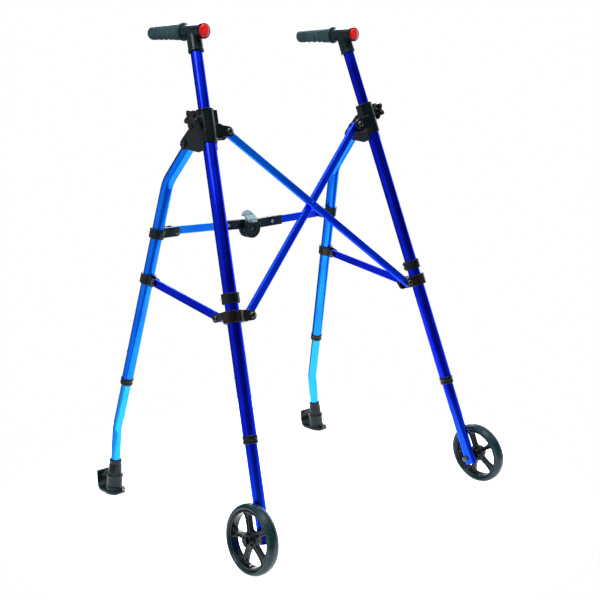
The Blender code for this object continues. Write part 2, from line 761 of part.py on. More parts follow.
def skid_foot():
    """A ski-shaped glide with a raised tail and a cup for the ferrule."""
    tail_r, thick = 0.0255, 0.0052
    centre = (SKID_TAIL_Y - tail_r, tail_r)
    side_outline = [(SKID_FRONT_Y + 0.004, 0), *arc(centre, tail_r, -90, 25, 7),
                    *arc(centre, tail_r - thick, 25, -90, 6), (SKID_FRONT_Y, 0.0062),
                    (SKID_FRONT_Y, 0.0035)]
    foot_x = side_point(0, 0).x
    runner = plate(side_outline, 0.08, frame_at(Vector((foot_x, 0, 0)), X_AXIS, Y_AXIS))
    wide = SKID_HALF_WIDTH
    plan = [(-wide, SKID_FRONT_Y + 0.016), (-0.008, SKID_FRONT_Y - 0.001),
            (0.008, SKID_FRONT_Y - 0.001), (wide, SKID_FRONT_Y + 0.016),
            (wide, SKID_TAIL_Y - 0.016), (0.012, SKID_TAIL_Y + 0.002),
            (-0.012, SKID_TAIL_Y + 0.002), (-wide, SKID_TAIL_Y - 0.016)]
    runner = common(runner, plate(plan, 0.2, Matrix.Translation((foot_x, 0, 0))))
    cup = rod(0.0172, 0.0030, 0.0365, FOOT)
    return cut(joined(runner, cup), rod(0.0149, 0.0092, 0.05, FOOT))


def tube_ring(placement, half_height, tube_r):
    return rod(tube_r + RING_WALL, -half_height, half_height, placement)


def crossbar_bracket():
    """A ring on the rear leg with an inboard clevis and its pin for the crossbar."""
    ring = on_rear(CROSS_BRACKET_Z)
    centre = rear_point(CROSS_BRACKET_Z)
    reach = centre.x - CROSS_PIN.x
    web = block((0.014, 2 * (CLEVIS + CHEEK), 0.019), (0.017, 0, 0),
                frame_at(centre, Z_AXIS, -X_AXIS))
    parts = cheeks(centre, Y_AXIS, -X_AXIS, CLEVIS, reach, 0.0095, 0.0095)
    solid = joined(tube_ring(ring, 0.0100, REAR_TUBE_R), web, *parts,
                   headed_pin(CROSS_PIN, Y_AXIS, X_AXIS, CLEVIS + CHEEK - 0.0005, head=0.0032))
    return cut(solid, rod(REAR_RING_BORE, -0.03, 0.03, ring))


LINK_SLOT = BAR_THICK / 2 + 2 * GAP


def link_bracket():
    """A ring on the rear leg with a forward clevis and its pin for the side link."""
    ring = on_rear(LINK_BRACKET_Z)
    centre = rear_point(LINK_BRACKET_Z)
    parts = cheeks(centre, OUT, -REAR_BACK, LINK_SLOT, LINK_BRACKET_REACH, 0.0085, 0.0098)
    solid = joined(tube_ring(ring, 0.0100, REAR_TUBE_R), *parts,
                   headed_pin(LINK_PIN, OUT, BACK, LINK_SLOT + CHEEK - 0.0005, head=0.0032))
    return cut(solid, rod(REAR_RING_BORE, -0.03, 0.03, ring))


def make_rear_leg():
    pair("rear_leg_tube", rear_leg_tube(), "rear_leg", "blue_tube")
    collar = collar_profile(rear_rise(REAR_COLLAR_Z), REAR_TUBE_R, REAR_INNER_R)
    pair("rear_leg_collar", turned(collar, REAR), "rear_leg", "black_plastic")
    pair("crossbar_bracket", crossbar_bracket(), "rear_leg", "black_plastic")
    pair("link_bracket", link_bracket(), "rear_leg", "black_plastic")
    pair("rear_leg_extension", rear_leg_extension(), "rear_extension", "sky_tube")
    pair("rear_snap_button",
         spring_button(rear_point(REAR_BUTTON_Z), REAR_BUTTON_DIR, REAR_DIR, REAR_TUBE_R),
         "rear_button", "steel")
    pair("foot_ferrule", foot_ferrule(), "rear_extension", "black_plastic")
    pair("skid_foot", skid_foot(), "rear_extension", "black_plastic")


# ---------------------------------------------------- slider, links and brace
SLIDER_HALF = 0.0110
SLIDER_PLAY = 0.0028        # sideways play of the slider's oval bore
EAR_SLOT = BAR_THICK / 2 + SLIDER_PLAY


def flat_bar(first, last, axis, holes):
    """A flat bar with round ends between two pin centres, drilled for its pins."""
    run = last - first
    bar = plate(capsule(run.length / 2, BAR_WIDTH / 2), BAR_THICK,
                frame_at((first + last) / 2, axis, run))
    return cut(bar, *(hole(point, axis, PIN_HOLE_R + GAP / 3, -0.02, 0.02) for point in holes))


def slider():
    """The runner: an oval ring on the leg, the brace's ear inboard, the link's behind."""
    place = frame_at(SLIDER_FOOT, LEG_DIR, OUT)
    tall = 2 * SLIDER_HALF
    inset = 0.0004
    ring = plate(capsule(SLIDER_PLAY, 0.0167), tall, place)
    reach = (SLIDER_PIN - SLIDER_FOOT).length
    parts = cheeks(SLIDER_FOOT, FRONT_NORMAL, INBOARD, CLEVIS, reach, 0.0095,
                   SLIDER_HALF - inset)
    parts.append(block((0.011, 2 * (CLEVIS + CHEEK - inset), tall - inset), (0.0175, 0, 0),
                       frame_at(SLIDER_FOOT, LEG_DIR, INBOARD)))
    ear_foot = SLIDER_FOOT + LEG_DIR * SLIDER_EAR_RISE
    root = SLIDER_HALF - SLIDER_EAR_RISE - inset
    parts += cheeks(ear_foot, OUT, BACK, EAR_SLOT, SLIDER_EAR_REACH, 0.0085, root)
    parts.append(block((2 * (EAR_SLOT + CHEEK - inset), 0.009, 2 * (root - inset)),
                       (0, 0.0165, SLIDER_EAR_RISE),
                       place))
    parts.append(headed_pin(SLIDER_PIN, FRONT_NORMAL, INBOARD, CLEVIS + CHEEK - 0.0005,
                            head=0.0040))
    for side in (-1, 1):
        outer = EAR_SLOT + CHEEK
        cap = [(0, outer + 0.0032), (0.0052, outer + 0.0032), (0.0062, outer + 0.0022),
               (0.0062, outer - 0.0010), (0, outer - 0.0010)]
        parts.append(turned(cap, frame_at(SLIDER_EAR, OUT * side, BACK), 8))
    solid = joined(ring, *parts)
    groove = frame_at(SLIDER_FOOT + BUTTON_DIR * 0.0122, LEG_DIR, OUT)
    return cut(solid, plate(capsule(SLIDER_PLAY, TUBE_R + 2 * GAP), 0.08, place),
               rod(0.0045, -0.03, 0.03, groove, 8))


def stop_collar():
    place = on_leg(STOP_COLLAR_Z)
    lug_block = block((0.011, 0.012, 0.013), (0, 0.0155, 0), place, 0.001)
    screw = rod(0.0030, -0.0085, 0.0085,
                frame_at(leg_point(STOP_COLLAR_Z) + BACK * 0.0188, OUT, BACK), 8)
    ring = joined(tube_ring(place, 0.0095, TUBE_R), lug_block, screw)
    return cut(ring, rod(RING_BORE, -0.03, 0.03, place))


def brace_bar(top, bottom, layer):
    offset = FRONT_NORMAL * layer
    return flat_bar(top + offset, bottom + offset, FRONT_NORMAL, (top, bottom, BRACE_CENTRE))


def make_brace():
    node("back_brace_bar", brace_bar(BRACE_TOP, flip(SLIDER_PIN), BAR_LAYER), "back_brace",
         "blue_tube")
    node("front_brace_bar", brace_bar(flip(BRACE_TOP), SLIDER_PIN, -BAR_LAYER), "front_brace",
         "blue_tube")
    node("brace_rivet", headed_pin(BRACE_CENTRE, FRONT_NORMAL, X_AXIS,
                                   BAR_LAYER + BAR_THICK / 2 + GAP, head=0.0030),
         "back_brace", "steel")
    pair("slider", slider(), "slider", "black_plastic")
    pair("stop_collar", stop_collar(), "frame", "black_plastic")
    pair("side_link", flat_bar(LINK_PIN, SLIDER_EAR, OUT, (LINK_PIN, SLIDER_EAR)), "side_link",
         "blue_tube")


# ------------------------------------------------------------ folding crossbar
ARM_HALF = 0.0098
ARM_START_X = -0.0021
BAR_END_X = 0.0300
ARM_HOLE_X = 0.0530


BAR_MIDDLE = Vector((0, CROSS_Y, CROSS_MIDDLE_Z))
BAR_RUN = (CROSS_PIN - BAR_MIDDLE).normalized()
BAR_REACH = (CROSS_PIN - BAR_MIDDLE).length
ALONG_BAR = frame_at(BAR_MIDDLE, BAR_RUN.cross(Y_AXIS), BAR_RUN)    # X outboard, Y back


def arm_hole():
    return hole(BAR_MIDDLE + BAR_RUN * ARM_HOLE_X, Y_AXIS, 0.0026, -0.02, 0.02)


def half_bar():
    """One half of the crossbar, from its bracket's pin to the hub."""
    outline = [(BAR_END_X, -BAR_WIDTH / 2),
               *arc((BAR_REACH, 0), BAR_WIDTH / 2, -90, 90, 8),
               (BAR_END_X, BAR_WIDTH / 2)]
    bar = plate(outline, CROSS_THICK, frame_at(BAR_MIDDLE - Y_AXIS * CROSS_LAYER, -Y_AXIS,
                                               BAR_RUN))
    return cut(bar, hole(CROSS_PIN, Y_AXIS, PIN_HOLE_R + GAP / 3, -0.02, 0.02), arm_hole())


def hub_plate():
    """A hub half: a disc on its own side of the lap, with the socket that holds a bar."""
    hub_place = frame_at(HUB, -Y_AXIS, X_AXIS)
    disc = rod(HUB_R, LAP_RELIEF, HUB_DEPTH, hub_place, 24)
    boss = rod(LAP_BOSS_R, 2 * GAP, HUB_DEPTH - 0.001, hub_place, 16)
    depth = HUB_DEPTH - 0.0006 - LAP_RELIEF
    arm = block((ARM_REACH - ARM_START_X, depth, 2 * ARM_HALF),
                ((ARM_REACH + ARM_START_X) / 2, -LAP_RELIEF - depth / 2, 0), ALONG_BAR)
    pocket = block((ARM_REACH, CROSS_THICK + 2 * GAP, BAR_WIDTH + 2 * GAP),
                   (BAR_END_X - GAP + ARM_REACH / 2, -CROSS_LAYER, 0), ALONG_BAR)
    return cut(joined(disc, boss, arm), pocket, arm_hole())


def turned_round(solid):
    """A copy turned half round about the hub's vertical axis."""
    mesh = solid.data.copy()
    about = Matrix.Translation(HUB)
    mesh.transform(about @ Matrix.Rotation(radians(180), 4, 'Z') @ about.inverted())
    return guide_object(mesh)


SEAT_DEPTH = 0.0100
STEM_HALF = 0.0055
STEM_THICK = 0.0060
BUTTON_TRAVEL = 0.0030
TAB_HALF = 0.0125           # the thumb tab's half width, and its rounded top's radius
TAB_BASE = HUB_R + BUTTON_TRAVEL + GAP


def seat_cutter():
    return block((2 * STEM_HALF + 2 * GAP, STEM_THICK + 2 * GAP, 0.04),
                 (0, BUTTON_SEAT_Y, HUB_R - SEAT_DEPTH + 0.02), Matrix.Translation(HUB))


def thumb_ramp():
    """The fixed slope on the front hub plate that leads up to the button."""
    outline = [(-HUB_DEPTH, 0.0120), (-LAP_RELIEF, 0.0120), (-LAP_RELIEF, TAB_BASE + 0.0035),
               (-HUB_DEPTH, HUB_R - 0.0005)]
    return plate(outline, 2 * TAB_HALF, frame_at(HUB, X_AXIS, Y_AXIS))


def release_button():
    """The lock's thumb button: a round-topped tab, sloped in front, on a stem."""
    back, top = HUB_DEPTH, TAB_BASE + TAB_HALF
    face = [(TAB_HALF, TAB_BASE), *arc((0, TAB_BASE), TAB_HALF, 8, 172, 10),
            (-TAB_HALF, TAB_BASE)]
    tab = plate(face, 0.05, frame_at(HUB, -Y_AXIS, X_AXIS))
    side = [(LAP_RELIEF, TAB_BASE), (back, TAB_BASE), (back, top + 0.001),
            (back - 0.003, top + 0.001), (LAP_RELIEF, TAB_BASE + 0.0045)]
    tab = common(tab, plate(side, 0.05, frame_at(HUB, X_AXIS, Y_AXIS)))
    low = HUB_R - SEAT_DEPTH + BUTTON_TRAVEL + 0.0008
    high = TAB_BASE + 0.002
    stem = block((2 * STEM_HALF, STEM_THICK, high - low), (0, BUTTON_SEAT_Y, (low + high) / 2),
                 Matrix.Translation(HUB))
    return joined(tab, stem)


def make_crossbar():
    bar, plate_half = half_bar(), hub_plate()
    back_plate = cut(turned_round(plate_half), seat_cutter())
    recess = rod(0.0072, HUB_DEPTH - 0.0026, HUB_DEPTH + 0.01, frame_at(HUB, -Y_AXIS, X_AXIS))
    pin_head = rod(0.0050, HUB_DEPTH - 0.0030, HUB_DEPTH - 0.0008,
                   frame_at(HUB, -Y_AXIS, X_AXIS), 10)
    front_plate = joined(cut(joined(plate_half, thumb_ramp()), recess), pin_head)
    node("right_crossbar_bar", turned_round(bar), "right_crossbar", "sky_tube")
    node("left_crossbar_bar", bar, "left_crossbar", "sky_tube")
    node("front_hub_plate", front_plate, "left_crossbar", "black_plastic")
    node("back_hub_plate", back_plate, "right_crossbar", "black_plastic")
    node("release_button", release_button(), "release_button", "grip_rubber")


make_bodies()
make_front_leg()
make_handle()
make_rear_leg()
make_brace()
make_crossbar()
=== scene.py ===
"""The looks of the folding walking frame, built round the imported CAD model.
Metres, +Z up, +X is the user's left, +Y is towards the user.  Every piece is
made for the left side and mirrored, and rides on the CAD body it belongs to."""
import json
from math import cos, pi, radians, sin

import bmesh
import bpy
from mathutils import Matrix, Vector


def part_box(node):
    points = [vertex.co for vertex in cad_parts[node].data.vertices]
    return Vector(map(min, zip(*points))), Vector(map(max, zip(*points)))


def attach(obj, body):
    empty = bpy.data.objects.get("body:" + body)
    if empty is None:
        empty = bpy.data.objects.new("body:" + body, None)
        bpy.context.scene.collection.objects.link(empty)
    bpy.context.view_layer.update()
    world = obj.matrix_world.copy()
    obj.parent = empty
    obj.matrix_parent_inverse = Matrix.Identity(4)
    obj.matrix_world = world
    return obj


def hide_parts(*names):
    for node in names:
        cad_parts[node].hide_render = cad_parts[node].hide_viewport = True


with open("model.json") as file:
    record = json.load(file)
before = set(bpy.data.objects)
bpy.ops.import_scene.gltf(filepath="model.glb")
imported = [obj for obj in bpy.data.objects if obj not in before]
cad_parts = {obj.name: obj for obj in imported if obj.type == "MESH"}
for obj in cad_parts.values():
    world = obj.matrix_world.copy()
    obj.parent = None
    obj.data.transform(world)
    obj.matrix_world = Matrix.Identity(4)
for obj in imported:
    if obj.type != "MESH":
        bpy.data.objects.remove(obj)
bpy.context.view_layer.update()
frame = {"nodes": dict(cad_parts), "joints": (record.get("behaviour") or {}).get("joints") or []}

# ---------------------------------------------------------- places, from the frame
JOINTS = {joint["name"]: joint for joint in frame["joints"]}
X_AXIS, Y_AXIS, Z_AXIS = Vector((1, 0, 0)), Vector((0, 1, 0)), Vector((0, 0, 1))


def pivot(joint):
    return Vector(JOINTS[joint]["pos_m"])


def axis(joint):
    return Vector(JOINTS[joint]["axis"]).normalized()


def frame_at(point, z_dir, x_dir):
    """A placement whose Z and X axes follow the given directions."""
    z_dir = z_dir.normalized()
    y_dir = z_dir.cross(x_dir).normalized()
    return Matrix.LocRotScale(point, Matrix((y_dir.cross(z_dir), y_dir, z_dir)).transposed(), None)


LEG_DIR = axis("left_handle_height")                # up the front leg
OUT = axis("left_clamp_knob_turn")                  # away from the other side frame
BACK = LEG_DIR.cross(OUT)
REAR_DIR = -axis("left_rear_leg_length")            # up the rear leg
REAR_BACK = REAR_DIR.cross(OUT)
FRONT_NORMAL = -axis("frame_fold")                  # square to the brace, pointing back
INBOARD = LEG_DIR.cross(FRONT_NORMAL)
BUTTON_DIR = -axis("left_front_button_press")
REAR_BUTTON_DIR = -axis("left_rear_button_press")
FOOT_DIR = Y_AXIS.cross(-OUT).normalized()          # up the foot, in the side plane

KNOB = pivot("left_clamp_knob_turn")
AXLE = pivot("left_wheel_spin")
REAR_PIN = pivot("left_rear_leg_fold")
LINK_PIN = pivot("left_side_link_fold")
CROSS_PIN = pivot("left_crossbar_fold")
BRACE_TOP = pivot("frame_fold")
BRACE_CENTRE = pivot("brace_scissor")
SLIDER_PIN = pivot("left_slider_turn")

LEG = frame_at(KNOB, LEG_DIR, OUT)                  # X outboard, Y back, Z up the leg


def extent(node, place):
    """Lowest and highest corner of a CAD node in a placement's own axes."""
    to_local = place.inverted()
    points = [to_local @ vertex.co for vertex in frame["nodes"][node].data.vertices]
    return (Vector(min(p[i] for p in points) for i in range(3)),
            Vector(max(p[i] for p in points) for i in range(3)))


def rise_of(node, place=LEG):
    """Height of a CAD node's ends along a placement's Z."""
    low, high = extent(node, place)
    return low.z, high.z


def mid_rise(node, place=LEG):
    return sum(rise_of(node, place)) / 2


def middle(node):
    low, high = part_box(node)
    return (low + high) / 2


REAR_RING = middle("left_rear_leg_collar")
REAR = frame_at(REAR_RING, REAR_DIR, OUT)           # X outboard, Y back, Z up the rear leg


# ------------------------------------------------------------------ shape tools
SMOOTH_SIDES = 64
ON_AXIS = 1e-6                                      # below this a radius counts as none


def loose(mesh):
    """A working object, kept out of the scene until it becomes a piece."""
    obj = bpy.data.objects.new("shape", mesh)
    bpy.context.scene.collection.objects.link(obj)
    return obj


def from_bmesh(bm, place, outward=True):
    mesh = bpy.data.meshes.new("shape")
    if outward:
        bmesh.ops.recalc_face_normals(bm, faces=bm.faces)
    bm.to_mesh(mesh)
    bm.free()
    mesh.transform(place)
    return loose(mesh)


def settled(obj, place=Matrix()):
    """The object with its modifiers applied, as a plain mesh in a placement."""
    bpy.context.view_layer.update()
    source = obj.evaluated_get(bpy.context.evaluated_depsgraph_get())
    mesh = bpy.data.meshes.new_from_object(source)
    bpy.data.objects.remove(obj, do_unlink=True)
    mesh.transform(place)
    return loose(mesh)


def rounded(points, radius, closed=False, steps=3):
    """A path of 2-D points with its corners rounded."""
    vectors = [Vector(point) for point in points]
    count = len(vectors)
    path = []
    for index, corner in enumerate(vectors):
        if not closed and index in (0, count - 1):
            path.append(corner)
            continue
        before, after = vectors[index - 1], vectors[(index + 1) % count]
        way_in, way_out = before - corner, after - corner
        reach = min(radius, way_in.length * 0.45, way_out.length * 0.45)
        first = corner + way_in.normalized() * reach
        last = corner + way_out.normalized() * reach
        for step in range(steps + 1):
            t = step / steps
            path.append(first * (1 - t) ** 2 + corner * 2 * t * (1 - t) + last * t ** 2)
    return path


def vertex_ring(bm, radius, height, sides, place=Matrix()):
    return [bm.verts.new(place @ Vector((radius * cos(2 * pi * i / sides),
                                         radius * sin(2 * pi * i / sides), height)))
            for i in range(sides)]


def turned(profile, place, sides=SMOOTH_SIDES, soft=0.0):
    """(radius, height) points turned about the placement's Z; open ends sit on the axis."""
    open_ended = profile[0][0] < ON_AXIS
    points = rounded(profile, soft, closed=not open_ended) if soft else profile
    bm = bmesh.new()
    rings = []
    for radius, height in points:
        if radius < ON_AXIS:
            rings.append([bm.verts.new((0, 0, height))])
            continue
        rings.append(vertex_ring(bm, radius, height, sides))
    pairs = list(zip(rings, rings[1:]))
    if not open_ended:
        pairs.append((rings[-1], rings[0]))
    for one, two in pairs:
        for i in range(sides):
            j = (i + 1) % sides
            corners = [one[0]] if len(one) == 1 else [one[i], one[j]]
            corners += [two[0]] if len(two) == 1 else [two[j], two[i]]
            if len(corners) > 2:
                bm.faces.new(corners)
    return from_bmesh(bm, place)


def rod(radius, low, high, place, soft=0.0003, sides=48):
    return turned([(0, low), (radius, low), (radius, high), (0, high)], place, sides, soft)


def sleeve(outer, inner, low, high, place, soft=0.0003):
    return turned([(outer, low), (outer, high), (inner, high), (inner, low)], place, soft=soft)


def block(size, centre, place, edge=0.0008):
    bm = bmesh.new()
    bmesh.ops.create_cube(bm, size=1)
    bmesh.ops.scale(bm, verts=bm.verts, vec=size)
    bmesh.ops.translate(bm, verts=bm.verts, vec=centre)
    if edge:
        bmesh.ops.bevel(bm, geom=bm.edges, offset=edge, segments=3, affect='EDGES', profile=0.5)
    return from_bmesh(bm, place)


def plate(outline, thickness, place, edge=0.0, segments=4):
    """An outline in the placement's XY plane, made thick, its rims rounded."""
    bm = bmesh.new()
    low = [bm.verts.new((x, y, -thickness / 2)) for x, y in outline]
    high = [bm.verts.new((x, y, thickness / 2)) for x, y in outline]
    rims = [bm.faces.new(low), bm.faces.new(high)]
    for i in range(len(outline)):
        j = (i + 1) % len(outline)
        bm.faces.new((low[i], low[j], high[j], high[i]))
    if edge:
        bmesh.ops.recalc_face_normals(bm, faces=bm.faces)
        edges = [e for rim in rims for e in rim.edges]
        bmesh.ops.bevel(bm, geom=edges, offset=edge, segments=segments, affect='EDGES',
                        profile=0.5)
    return from_bmesh(bm, place)


def arc(centre, radius, start, end, steps=10):
    """Points of a circular arc, angles in degrees."""
    return [(centre[0] + radius * cos(radians(start + (end - start) * i / steps)),
             centre[1] + radius * sin(radians(start + (end - start) * i / steps)))
            for i in range(steps + 1)]


def capsule(half_length, radius, steps=12):
    return (arc((half_length, 0), radius, -90, 90, steps)
            + arc((-half_length, 0), radius, 90, 270, steps))


def lug(reach, radius, root, steps=12):
    """An ear's outline: from the origin to a round end at +X."""
    return [(0, root), (0, -root)] + arc((reach, 0), radius, -90, 90, steps)


def hexagon(across):
    return arc((0, 0), across / 2 / cos(radians(30)), 0, 300, 5)


def swept(points, radius, sides=48):
    """A round bar along a path of points that lies in one plane, capped flat."""
    bm = bmesh.new()
    rings = []
    for index, point in enumerate(points):
        before = points[max(index - 1, 0)]
        after = points[min(index + 1, len(points) - 1)]
        place = frame_at(point, after - before, OUT)
        rings.append(vertex_ring(bm, radius, 0, sides, place))
    for one, two in zip(rings, rings[1:]):
        for i in range(sides):
            j = (i + 1) % sides
            bm.faces.new((one[i], one[j], two[j], two[i]))
    bm.faces.new(rings[0])
    bm.faces.new(rings[-1])
    return from_bmesh(bm, Matrix())


def merged(parts):
    """Several shapes in one mesh, still separate shells."""
    bm = bmesh.new()
    for part in parts:
        bm.from_mesh(part.data)
        bpy.data.objects.remove(part, do_unlink=True)
    return from_bmesh(bm, Matrix(), outward=False)


def cut(obj, *tools, operation='DIFFERENCE', solver='EXACT'):
    for tool in tools:
        modifier = obj.modifiers.new("cut", 'BOOLEAN')
        modifier.operation, modifier.solver, modifier.object = operation, solver, tool
        tool.hide_render = True
    result = settled(obj)
    for tool in tools:
        bpy.data.objects.remove(tool, do_unlink=True)
    return result


def moulded(parts, place, cuts=(), grain=0.0006, passes=4, keep=0.30):
    """One moulding: the shapes run together with small fillets, then drilled."""
    body = merged(parts)
    body.data.transform(place.inverted())
    remesh = body.modifiers.new("run together", 'REMESH')
    remesh.mode, remesh.voxel_size = 'VOXEL', grain
    smooth = body.modifiers.new("soften", 'SMOOTH')
    smooth.factor, smooth.iterations = 0.5, passes
    thin = body.modifiers.new("thin out", 'DECIMATE')
    thin.ratio = keep
    body = settled(body, place)
    return cut(body, *cuts, solver='MANIFOLD') if cuts else body


# ------------------------------------------------------------------- materials
class Nodes:
    """A material being wired up."""

    def __init__(self, name):
        self.material = bpy.data.materials.new(name)
        self.material.use_nodes = True
        self.tree = self.material.node_tree
        self.shader = self.tree.nodes["Principled BSDF"]
        self.place = self.add('ShaderNodeTexCoord').outputs["Object"]

    def add(self, kind, **values):
        made = self.tree.nodes.new(kind)
        for name, value in values.items():
            setattr(made, name, value)
        return made

    def wire(self, source, target):
        self.tree.links.new(source, target)

    def noise(self, scale, detail=3.0, coords=None, roughness=0.55):
        made = self.add('ShaderNodeTexNoise')
        made.inputs["Scale"].default_value = scale
        made.inputs["Detail"].default_value = detail
        made.inputs["Roughness"].default_value = roughness
        self.wire(coords or self.place, made.inputs["Vector"])
        return made.outputs["Fac"]

    def ramp(self, source, stops):
        made = self.add('ShaderNodeValToRGB')
        elements = made.color_ramp.elements
        while len(elements) < len(stops):
            elements.new(0.5)
        for element, (position, colour) in zip(elements, stops):
            element.position = position
            element.color = (*colour, 1) if len(colour) == 3 else colour
        self.wire(source, made.inputs["Fac"])
        return made.outputs["Color"]

    def blend(self, factor, first, second):
        """Mix two colours, either of them a socket or an RGB value."""
        made = self.add('ShaderNodeMix', data_type='RGBA')
        for socket, value in ((made.inputs[0], factor), (made.inputs[6], first),
                              (made.inputs[7], second)):
            if isinstance(value, bpy.types.NodeSocket):
                self.wire(value, socket)
            elif isinstance(value, float):
                socket.default_value = value
            else:
                socket.default_value = (*value, 1)
        return made.outputs[2]

    def scaled(self, source, low, high):
        made = self.add('ShaderNodeMapRange')
        made.inputs["From Min"].default_value = 0.3
        made.inputs["From Max"].default_value = 0.7
        made.inputs["To Min"].default_value = low
        made.inputs["To Max"].default_value = high
        self.wire(source, made.inputs["Value"])
        return made.outputs["Result"]

    def bump(self, source, height, strength=1.0, under=None):
        made = self.add('ShaderNodeBump')
        made.inputs["Distance"].default_value = height
        made.inputs["Strength"].default_value = strength
        self.wire(source, made.inputs["Height"])
        if under:
            self.wire(under, made.inputs["Normal"])
        return made.outputs["Normal"]

    def edges(self, low=0.60, high=0.90):
        """White on worn outer edges, from the surface's own curvature."""
        geometry = self.add('ShaderNodeNewGeometry')
        return self.ramp(geometry.outputs["Pointiness"], [(low, (0, 0, 0)), (high, (1, 1, 1))])

    def set(self, **values):
        for name, value in values.items():
            socket = self.shader.inputs[name.replace("_", " ").title().replace("Ior", "IOR")]
            if isinstance(value, bpy.types.NodeSocket):
                self.wire(value, socket)
            else:
                socket.default_value = value if isinstance(value, float) else (*value, 1)


def stretched(nodes, direction, squeeze):
    """Coordinates drawn out along a direction, for the lines of a drawn tube."""
    mapping = nodes.add('ShaderNodeMapping', vector_type='TEXTURE')
    across = X_AXIS if abs(direction.x) < 0.9 else Y_AXIS
    mapping.inputs["Rotation"].default_value = frame_at(Vector(), direction, across).to_euler()
    mapping.inputs["Scale"].default_value = (1, 1, squeeze)
    nodes.wire(nodes.place, mapping.inputs["Vector"])
    return mapping.outputs["Vector"]


def anodised(name, colour, deep, direction, roughness, fade=None):
    """Dyed and polished aluminium tube: fine drawing lines, cloudy dye, scuffs.  A fade
    is (axis, start, end, colour): that colour is blended in along the axis.  On the front
    brace bar it is a painted highlight over the upper end; on the front extension it only
    makes the blue lighter towards the bottom."""
    nodes = Nodes(name)
    lines = nodes.noise(900.0, 4.0, stretched(nodes, direction, 60.0))
    clouds = nodes.noise(14.0, 3.0)
    scuffs = nodes.noise(55.0, 8.0, stretched(nodes, direction, 3.0), 0.75)
    dye_and_tone_shift = nodes.blend(nodes.scaled(clouds, 0.0, 1.0), colour, deep)
    if fade:
        letter, start, end, other = fade
        parts = nodes.add('ShaderNodeSeparateXYZ')
        nodes.wire(nodes.place, parts.inputs[0])
        reach = nodes.add('ShaderNodeMapRange', interpolation_type='SMOOTHSTEP')
        reach.inputs["From Min"].default_value = start
        reach.inputs["From Max"].default_value = end
        nodes.wire(parts.outputs[letter], reach.inputs["Value"])
        # The fade's colour blended in: a painted highlight over the front brace bar's upper end,
        # and lighter blue towards the bottom of the front extension.
        dye_and_tone_shift = nodes.blend(reach.outputs["Result"], dye_and_tone_shift, other)
    lighter = tuple(min(1.0, c * 1.20 + 0.004) for c in colour)
    marked = nodes.ramp(scuffs, [(0.66, (0, 0, 0)), (0.74, (0.20, 0.20, 0.20))])
    nodes.set(base_color=nodes.blend(marked, dye_and_tone_shift, lighter),
              roughness=nodes.scaled(lines, roughness - 0.04, roughness + 0.06),
              metallic=1.0, coat_weight=0.10, coat_roughness=0.08,
              specular_tint=(0.35, 0.50, 1.0),
              normal=nodes.bump(lines, 0.00002, 0.35))
    return nodes.material


def plastic(name, colour, light, roughness, grain=2600.0, depth=0.000006, specular=0.20):
    """Moulded plastic: a fine spark-eroded texture, soft mottling, rubbed edges."""
    nodes = Nodes(name)
    texture = nodes.noise(grain, 2.0)
    mottle = nodes.noise(45.0, 4.0)
    rubbed = nodes.blend(nodes.edges(), nodes.blend(nodes.scaled(mottle, 0.0, 1.0), colour,
                                                    tuple(c * 1.6 for c in colour)), light)
    nodes.set(base_color=rubbed, specular_ior_level=specular,
              roughness=nodes.scaled(mottle, roughness - 0.05, roughness + 0.07),
              normal=nodes.bump(texture, depth, 0.6))
    return nodes.material


def rubber(name, colour, light, roughness, sheen):
    """Soft rubber: pebbled skin, dusty bloom on its raised parts."""
    nodes = Nodes(name)
    cells = nodes.add('ShaderNodeTexVoronoi')
    cells.inputs["Scale"].default_value = 900.0
    nodes.wire(nodes.place, cells.inputs["Vector"])
    bloom = nodes.noise(38.0, 6.0)
    dusty = nodes.blend(nodes.ramp(bloom, [(0.45, (0, 0, 0)), (0.75, (0.5, 0.5, 0.5))]),
                        colour, light)
    nodes.set(base_color=nodes.blend(nodes.edges(), dusty, light), specular_ior_level=0.25,
              roughness=nodes.scaled(bloom, roughness - 0.06, roughness + 0.08),
              sheen_weight=sheen, sheen_roughness=0.4,
              normal=nodes.bump(cells.outputs["Distance"], 0.00004, 0.4))
    return nodes.material


def plated(name, colour, roughness):
    """Zinc-plated steel: turned rings of polish and small dark pits."""
    nodes = Nodes(name)
    fine = nodes.noise(1500.0, 3.0)
    pits = nodes.noise(320.0, 5.0)
    dark = tuple(c * 0.45 for c in colour)
    nodes.set(base_color=nodes.blend(nodes.ramp(pits, [(0.62, (0, 0, 0)), (0.70, (1, 1, 1))]),
                                     colour, dark),
              metallic=1.0, roughness=nodes.scaled(fine, roughness - 0.05, roughness + 0.1),
              normal=nodes.bump(fine, 0.00002, 0.4))
    return nodes.material


def lens(name):
    """Clear red reflector: rows of small corner prisms under a glossy face."""
    nodes = Nodes(name)
    cells = nodes.add('ShaderNodeTexVoronoi', feature='F1', distance='CHEBYCHEV')
    cells.inputs["Scale"].default_value = 520.0
    cells.inputs["Randomness"].default_value = 0.0
    nodes.wire(nodes.place, cells.inputs["Vector"])
    tones = nodes.ramp(cells.outputs["Distance"], [(0.15, (1.0, 0.006, 0.008)),
                                                   (0.55, (0.62, 0.002, 0.004))])
    nodes.set(base_color=tones, roughness=0.30, specular_ior_level=0.2, coat_weight=0.4,
              coat_roughness=0.05, normal=nodes.bump(cells.outputs["Distance"], 0.00012, 0.3))
    return nodes.material


NAVY, NAVY_DEEP = (0.001, 0.016, 0.700), (0.001, 0.004, 0.420)
BLUE, BLUE_DEEP = (0.002, 0.050, 0.900), (0.001, 0.026, 0.700)
AZURE, AZURE_DEEP = (0.003, 0.185, 1.000), (0.002, 0.120, 0.900)
CYAN, CYAN_DEEP = (0.020, 0.330, 1.000), (0.008, 0.260, 0.960)
BAR_DIR = (SLIDER_PIN - BRACE_TOP).normalized()

